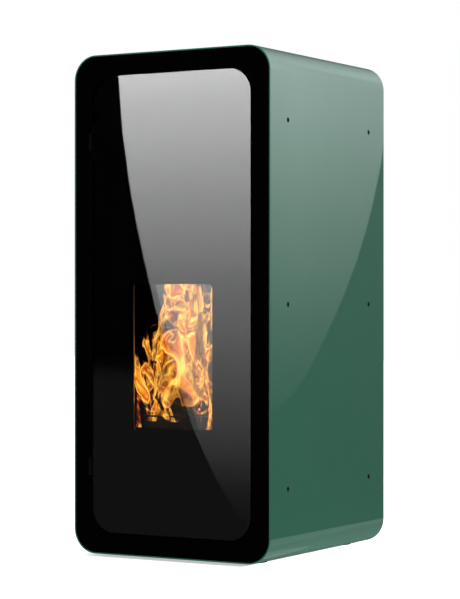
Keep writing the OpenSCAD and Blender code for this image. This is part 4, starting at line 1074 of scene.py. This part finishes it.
@dataclass
class Controls(Dresser):
    """Display, buttons, electronics box and rear sockets."""

    # The display's window: its size, its place, its edges' rounding, and the dish inside its rim.
    window_mm: Point = (167.5, 33.5, 0.6)
    window_y_mm: float = -230.0
    window_edge_mm: float = 0.2
    window_rim_mm: float = 3.0
    window_dish_mm: float = 0.15
    # The marks: the buttons' pitch, a mark's size, and its bars' width and height.
    pitch_mm: float = 34.0
    mark_mm: float = 8.5
    bar_mm: float = 1.1
    rise_mm: float = 0.16
    sunk_mm: float = 0.02
    bar_edge_mm: float = 0.05
    long_share: float = 0.8
    short_share: float = 0.5
    ring_share: float = 0.42
    ring_steps: tuple[int, int] = (40, 8)
    ring_gap_deg: float = 54.0
    # The second bar of the plus is a little lower, so that the two tops aren't in one plane.
    lower_share: float = 0.98

    def build(self) -> None:
        """Dresses the controls."""
        self.screen()
        self.power_ring()
        self.bars()
        self.finish_nodes({
            GREY_COAT: ("control_box",),
            BLACK_PLASTIC: ("display_panel", "power_inlet", "power_switch", "safety_thermostat"),
            BUTTON_PLASTIC: ("button_power", "button_minus", "button_plus"),
        })

    def screen(self) -> Piece:
        """Models the display's window, set in the shallow recess behind the buttons.

        Returns:
            The window.
        """
        _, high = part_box("display_panel")
        size = tuple(side * MM for side in self.window_mm)
        centre = (0.0, self.window_y_mm * MM, high[2] - size[2])
        window = slab("display_window", centre, size, self.window_edge_mm * MM)
        pick_faces(window, lambda face: face.normal.z > FLAT)
        bpy.ops.mesh.inset(thickness=self.window_rim_mm * MM)
        bpy.ops.transform.translate(value=(0.0, 0.0, -self.window_dish_mm * MM))
        deselect()
        return self.keep(window, DISPLAY_WINDOW)

    def mark_place(self) -> Pair:
        """Finds the marks' place: the buttons' middle along Y, and just under their top."""
        low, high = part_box("button_power")
        return (low[1] + high[1]) / 2, high[2] - self.sunk_mm * MM

    def power_ring(self) -> Piece:
        """Models the broken ring of the power mark.

        Returns:
            The ring.
        """
        (y, z), x = self.mark_place(), -self.pitch_mm * MM
        around, through = self.ring_steps
        deselect()
        bpy.ops.mesh.primitive_torus_add(
            location=(x, y, z), major_radius=self.mark_mm * self.ring_share * MM,
            minor_radius=self.bar_mm / 2 * MM, major_segments=around, minor_segments=through)
        ring = named("power_ring")
        ring.scale = (1.0, 1.0, self.rise_mm / self.bar_mm)
        settle(ring)
        gap = math.radians(self.ring_gap_deg / 2)
        pick_faces(ring, lambda face: abs(math.atan2(face.center.x - x, face.center.y - y)) < gap)
        bpy.ops.mesh.delete(type="FACE")
        bpy.ops.mesh.select_all(action="SELECT")
        bpy.ops.mesh.fill_holes(sides=0)
        bpy.ops.mesh.select_all(action="SELECT")
        bpy.ops.mesh.normals_make_consistent(inside=False)
        deselect()
        return self.keep(ring, MARK_PRINT, "power_button")

    def bars(self) -> None:
        """Models the straight marks: the power mark's bar, a minus and a plus."""
        (y, z), pitch, bar, rise = self.mark_place(), self.pitch_mm, self.bar_mm, self.rise_mm
        long, short = self.mark_mm * self.long_share, self.mark_mm * self.short_share
        for name, x, extent, shift, body in (
            ("power_bar", -pitch, (bar, short, rise), short / 2, "power_button"),
            ("minus_bar", 0.0, (long, bar, rise), 0.0, "minus_button"),
            ("plus_bar_across", pitch, (long, bar, rise), 0.0, "plus_button"),
            ("plus_bar_along", pitch, (bar, long, rise * self.lower_share), 0.0, "plus_button"),
        ):
            block = slab(name, (x * MM, y + shift * MM, z), tuple(side * MM for side in extent),
                         self.bar_edge_mm * MM)
            self.keep(block, MARK_PRINT, body)


@dataclass(frozen=True)
class CardLight:
    """What a card glows with: its strength along one axis, a fade along another, and its colour.

    Stops are pairs of place, in metres, and strength; the fade's are places and shares.
    """

    stops: Stops
    axis: Axis = Axis.Z
    fade: Stops = ()
    fade_axis: Axis = Axis.Y
    cast: Point = (1.0, 1.0, 1.0)

    def shade(self, tree: Tree, place: Socket, stops: Stops, most: float = 1.0) -> Node:
        """Turns a place into a grey by a ramp.

        Args:
            tree: The node tree to add to.
            place: The socket that gives the place.
            stops: Pairs of place, in metres, and value.
            most: The value that is white.

        Returns:
            The ramp.
        """
        start, end = stops[0][0], stops[-1][0]
        share = add_node(tree, "MapRange", {"From Min": start, "From Max": end, "Value": place})
        ramp = add_node(tree, "ValToRGB", {"Fac": share})
        set_ramp(ramp, [((at - start) / (end - start), (value / most,) * 3 + (1.0,))
                        for at, value in stops])
        return ramp

    def material(self, name: str) -> Material:
        """Makes the card's material.

        Args:
            name: The material's name.

        Returns:
            The material.
        """
        made = empty_material(name)
        tree = made.node_tree
        coords = add_node(tree, "TexCoord").outputs["Object"]
        split = add_node(tree, "SeparateXYZ", {"Vector": coords})
        most = max(level for _, level in self.stops)
        colour = self.shade(tree, split.outputs[self.axis.name], self.stops, most)
        if self.fade:
            left = self.shade(tree, split.outputs[self.fade_axis.name], self.fade)
            colour = add_node(tree, "VectorMath", {"operation": "MULTIPLY", 0: colour, 1: left})
        cast = add_node(tree, "VectorMath", {"operation": "MULTIPLY", 0: colour, 1: self.cast})
        light = add_node(tree, "Emission", {"Strength": most, "Color": cast})
        add_node(tree, "OutputMaterial", {"Surface": light})
        return made


# Light that turns the painted side's reflections a little greener and bluer.
COOL = (1.0, 1.11, 1.1)
# The outlines of the glows on the front glass, across and up, and on the side, back and up, in
# millimetres: first down the curved edge, then back round the glass's or the side's own edges.
FRONT_GLOW: Stops = (
    (-139, 1103), (-134, 1040), (-128, 975), (-117, 905), (-105, 835), (-91, 770), (-75, 705),
    (-58, 640), (-40, 575), (-16, 505), (10, 435), (35, 370), (60, 305), (90, 248), (120, 195),
    (146, 158), (170, 125), (216, 72), (230, 72), (230, 1125), (-139, 1125))
SIDE_GLOW: Stops = (
    (262, 1010), (258, 965), (247, 925), (230, 885), (203, 826), (170, 765), (120, 688), (61, 615),
    (10, 558), (-44, 505), (-92, 458), (-140, 415), (-188, 384), (-245, 360), (-310, 346),
    (-310, 1200), (260, 1200))
# How strong those glows are at each height, in millimetres.
FRONT_LEVELS: Stops = (
    (100, 0.068), (150, 0.103), (173, 0.132), (218, 0.23), (308, 0.49), (354, 0.61), (399, 0.78),
    (435, 0.88), (635, 1.72), (835, 3.3), (1035, 5.6), (1105, 6.9))
SIDE_LEVELS: Stops = (
    (350, 0.11), (425, 0.2), (545, 0.41), (665, 0.74), (785, 1.08), (905, 1.56), (1025, 2.1),
    (1100, 2.4))
# What is left of the side's glow further back, by the place along Y on its card.
SIDE_FADE: Stops = ((4.0, 1.0), (5.3, 1.0), (5.66, 0.86), (6.2, 0.71), (7.0, 0.68))
# The light of the cards above the side's glow and behind the stove.
SIDE_HIGH = CardLight(
    ((1.79, 2.35), (2.40, 2.5), (3.08, 2.9), (3.9, 3.4), (6.0, 3.4)), cast=COOL,
    fade=((4.0, 1.0), (5.3, 1.0), (5.57, 0.9), (6.14, 0.73), (6.52, 0.64), (7.0, 0.58)))
BACK_HIGH = CardLight(
    ((-9.0, 0.1), (-3.9, 0.1), (-3.4, 0.13), (-1.9, 0.31), (0.2, 0.92), (2.3, 1.75), (3.3, 2.0)),
    Axis.X, ((0.6, 0.7), (2.9, 0.72), (3.7, 0.8), (4.2, 0.95), (8.0, 1.0)), Axis.Z, COOL)
BACK_LOW = CardLight(
    ((-9.0, 0.05), (-3.7, 0.07), (-1.9, 0.14), (0.2, 0.22), (2.3, 0.3), (3.3, 0.35)), Axis.X,
    cast=COOL)


@dataclass
class Studio:
    """Floor, light, camera, and the cards whose reflections sweep over the glass and the side."""

    # The camera: its place, turn, lens and sensor, and how far it sees.
    eye: Point = (2.5393, -4.3521, 0.5843)
    turn_deg: Point = (90.094, 0.0, 30.447)
    lens_mm: float = 127.34
    sensor_mm: float = 36.0
    sight: float = 100.0
    # How strongly the surround and the floor glow.
    surround: float = 1.0
    floor_size: float = 30.0
    floor_glow: float = 0.45
    # The bounce board on the floor.
    bounce_light: float = 2.2
    bounce_x: Pair = (0.19, 0.33)
    bounce_y: Pair = (-0.32, 0.34)
    bounce_z: float = 0.002
    # The stove's two flat sides that mirror the cards.
    glass_y: float = -0.300
    side_x: float = 0.260
    # The cards and flags in front, at the side, behind and below, in metres.
    front_y: float = -6.3
    front_flag_y: float = -6.9
    front_flag_x: Pair = (-14.0, -0.4)
    side_card_x: float = 3.26
    side_flag_x: float = 3.4
    side_flag_y: Pair = (1.5, 12.0)
    side_high_x: float = 3.24
    side_high_y: float = 4.0
    side_high_z: float = 1.79
    back_x: float = -9.0
    back_y: float = 7.0
    back_split: float = 0.6
    low: float = -4.0
    high: float = 8.0
    under_light: float = 0.45
    under_z: float = -3.9
    under_reach: Pair = (14.0, 9.0)

    def build(self) -> None:
        """Sets up everything round the stove."""
        bpy.context.scene.view_settings.view_transform = "Standard"
        self.camera()
        self.world()
        self.floor()
        self.lamps()
        self.bounce()
        self.cards()

    def camera(self) -> None:
        """Puts the camera where the photograph was taken from."""
        data = bpy.data.cameras.new("camera")
        data.lens = self.lens_mm
        data.sensor_fit = "VERTICAL"
        data.sensor_height = self.sensor_mm
        data.clip_end = self.sight
        camera = bpy.data.objects.new("camera", data)
        camera.location = self.eye
        camera.rotation_euler = [math.radians(a) for a in self.turn_deg]
        bpy.context.scene.collection.objects.link(camera)
        bpy.context.scene.camera = camera

    def world(self) -> None:
        """Makes a white surround that lights the stove evenly."""
        world = bpy.data.worlds.new("surround")
        world.use_nodes = True
        tree = world.node_tree
        tree.nodes.clear()
        shade = add_node(tree, "Background", {
            "Color": linear("#ffffff"), "Strength": self.surround})
        add_node(tree, "OutputWorld", {"Surface": shade})
        bpy.context.scene.world = world

    def glowing(self, name: str, strength: float) -> Material:
        """Makes an evenly glowing white material.

        Args:
            name: The material's name.
            strength: How strongly it glows.

        Returns:
            The material.
        """
        made = empty_material(name)
        light = add_node(made.node_tree, "Emission", {
            "Color": linear("#ffffff"), "Strength": strength})
        add_node(made.node_tree, "OutputMaterial", {"Surface": light})
        return made

    def floor(self) -> None:
        """Lays a pale floor that is white to the camera and keeps the stove's shadow."""
        deselect()
        bpy.ops.mesh.primitive_plane_add(size=self.floor_size, location=(0.0, 0.0, 0.0))
        floor = named("floor")
        made = empty_material("pale_floor")
        tree = made.node_tree
        paint = add_node(tree, "BsdfDiffuse", {"Color": linear("#f4f4f4")})
        glow = add_node(tree, "Emission", {
            "Color": linear("#ffffff"), "Strength": self.floor_glow})
        both = add_node(tree, "AddShader", {0: paint, 1: glow})
        add_node(tree, "OutputMaterial", {"Surface": both})
        floor.data.materials.append(made)
        floor.visible_glossy = False
        floor.visible_transmission = False

    def lamps(self) -> None:
        """Hangs two soft boxes: one over the front right, one over the top."""
        for name, place, aim, size, power in (
            ("soft_box_front", (1.6, -3.2, 2.6), (0.0, 0.0, 0.6), 3.6, 75.0),
            ("soft_box_top", (0.3, 0.4, 3.6), (0.0, 0.0, 1.1), 3.2, 45.0),
        ):
            data = bpy.data.lights.new(name, "AREA")
            data.size = size
            data.energy = power
            lamp = bpy.data.objects.new(name, data)
            lamp.visible_camera = False
            lamp.visible_glossy = False
            lamp.location = place
            sight = Vector(aim) - Vector(place)
            lamp.rotation_euler = sight.to_track_quat("-Z", "Y").to_euler()
            bpy.context.scene.collection.objects.link(lamp)

    def card(self, name: str, corners: list[Point], material: Material) -> Piece:
        """Hangs a flat card that only reflections see.

        Args:
            name: The card's name.
            corners: Its outline, in order.
            material: What it is covered with.

        Returns:
            The card.
        """
        mesh = bpy.data.meshes.new(name)
        mesh.from_pydata(corners, [], [list(range(len(corners)))])
        mesh.materials.append(material)
        card = bpy.data.objects.new(name, mesh)
        bpy.context.scene.collection.objects.link(card)
        card.visible_camera = False
        card.visible_diffuse = False
        card.visible_shadow = False
        card.visible_volume_scatter = False
        return card

    def level_card(self, name: str, xs: Pair, ys: Pair, z: float,
                   strength: float) -> Piece:
        """Lays an evenly glowing rectangular card flat.

        Args:
            name: The card's name.
            xs: Where it starts and ends along X.
            ys: Where it starts and ends along Y.
            z: Its height.
            strength: How strongly it glows.

        Returns:
            The card.
        """
        corners = [(xs[0], ys[0], z), (xs[1], ys[0], z), (xs[1], ys[1], z), (xs[0], ys[1], z)]
        return self.card(name, corners, self.glowing(f"{name}_light", strength))

    def upright_card(self, name: str, facing: Axis, plane: float, across: Pair,
                     heights: Pair, light: CardLight) -> Piece:
        """Hangs an upright rectangular card.

        Args:
            name: The card's name.
            facing: The axis it faces along, X or Y.
            plane: Its place on that axis.
            across: Where it starts and ends on the other level axis.
            heights: Its foot and its top.
            light: What it glows with.

        Returns:
            The card.
        """
        (start, end), (foot, top) = across, heights
        corners = [(start, foot), (end, foot), (end, top), (start, top)]
        places = [(plane, a, z) if facing is Axis.X else (a, plane, z) for a, z in corners]
        return self.card(name, places, light.material(f"{name}_light"))

    def thrown(self, point: Vector, facing: Axis, plane: float) -> Point:
        """Finds where a ray from the camera lands after a flat side of the stove mirrors it.

        Args:
            point: The point on the stove.
            facing: The axis that side faces along.
            plane: The card's place on that axis.

        Returns:
            The point on the card.
        """
        axis = facing.value
        ray = point - Vector(self.eye)
        ray[axis] = -ray[axis]
        return tuple(point + ray * ((plane - point[axis]) / ray[axis]))

    def swept_card(self, name: str, facing: Axis, plane: float, outline: Stops, levels: Stops,
                   fade: Stops = (), cast: Point = (1.0, 1.0, 1.0)) -> Piece:
        """Hangs a card whose reflection on a flat side has the outline and shading asked for.

        Args:
            name: The card's name.
            facing: X for the right-hand side, Y for the front glass.
            plane: The card's place on that axis.
            outline: The reflection's outline, as pairs of millimetres across and up.
            levels: Pairs of height on that side, in millimetres, and strength.
            fade: Pairs of place along Y on the card, in metres, and the share left there.
            cast: The light's colour, as shares of red, green and blue.

        Returns:
            The card.
        """
        def on_side(across_mm: float, up_mm: float) -> Vector:
            """Gives the point of that side at a place across and up it."""
            if facing is Axis.X:
                return Vector((self.side_x, across_mm * MM, up_mm * MM))
            return Vector((across_mm * MM, self.glass_y, up_mm * MM))

        corners = [self.thrown(on_side(a, z), facing, plane) for a, z in outline]
        stops = tuple((self.thrown(on_side(0, z), facing, plane)[2], level) for z, level in levels)
        light = CardLight(stops, fade=fade, cast=cast)
        return self.card(name, corners, light.material(f"{name}_light"))

    def bounce(self) -> None:
        """Lays a board beside the stove that throws light up under its right-hand edge."""
        board = self.level_card("bounce_board", self.bounce_x, self.bounce_y, self.bounce_z,
                                self.bounce_light)
        board.visible_diffuse = True
        board.visible_glossy = False
        board.visible_transmission = False

    def cards(self) -> None:
        """Hangs the dark flags and the bright cards that the glass and the painted side reflect."""
        low, high, split = self.low, self.high, self.back_split
        back_x = (self.back_x, self.side_card_x)
        # Dark flags behind the two glows: what the glass and the side show outside them.
        self.upright_card(
            "flag_front", Axis.Y, self.front_flag_y, self.front_flag_x, (low, high),
            CardLight(((low, 0.06), (0.12, 0.06), (0.24, 0.0), (high, 0.0))))
        self.upright_card(
            "flag_side", Axis.X, self.side_flag_x, self.side_flag_y, (low, high),
            CardLight(((low, 0.5), (-0.70, 0.5), (-0.69, 0.05), (high, 0.05)), cast=COOL))
        # Above the side's glow: what the top bend of the casing reflects.
        self.upright_card(
            "card_side_high", Axis.X, self.side_high_x, (self.side_high_y, self.back_y),
            (self.side_high_z, high), SIDE_HIGH)
        # Below everything: what the bottom bend reflects.
        reach_x, reach_y = self.under_reach
        self.level_card("card_under", (-reach_x, reach_x), (-reach_y, reach_y), self.under_z,
                        self.under_light)
        # Behind the stove, in two parts: what the top and the rear bends reflect.
        self.upright_card("card_back_high", Axis.Y, self.back_y, back_x, (split, high), BACK_HIGH)
        self.upright_card("card_back_low", Axis.Y, self.back_y, back_x, (low, split), BACK_LOW)
        # The two glows themselves.
        self.swept_card("glow_front", Axis.Y, self.front_y, FRONT_GLOW, FRONT_LEVELS)
        self.swept_card("glow_side", Axis.X, self.side_card_x, SIDE_GLOW, SIDE_LEVELS, SIDE_FADE,
                        COOL)


def main() -> None:
    """Builds the sub-assemblies in order, then the studio."""
    logging.basicConfig(level=logging.INFO, format="%(name)s: %(message)s")
    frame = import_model()
    for part in (Casing(frame), FrontDoor(frame), Fire(frame), Fuel(frame), Draught(frame),
                 Water(frame), Controls(frame)):
        part.build()
        LOG.info("%s is done", type(part).__name__)
    Studio().build()


if __name__ == "__main__":
    main()
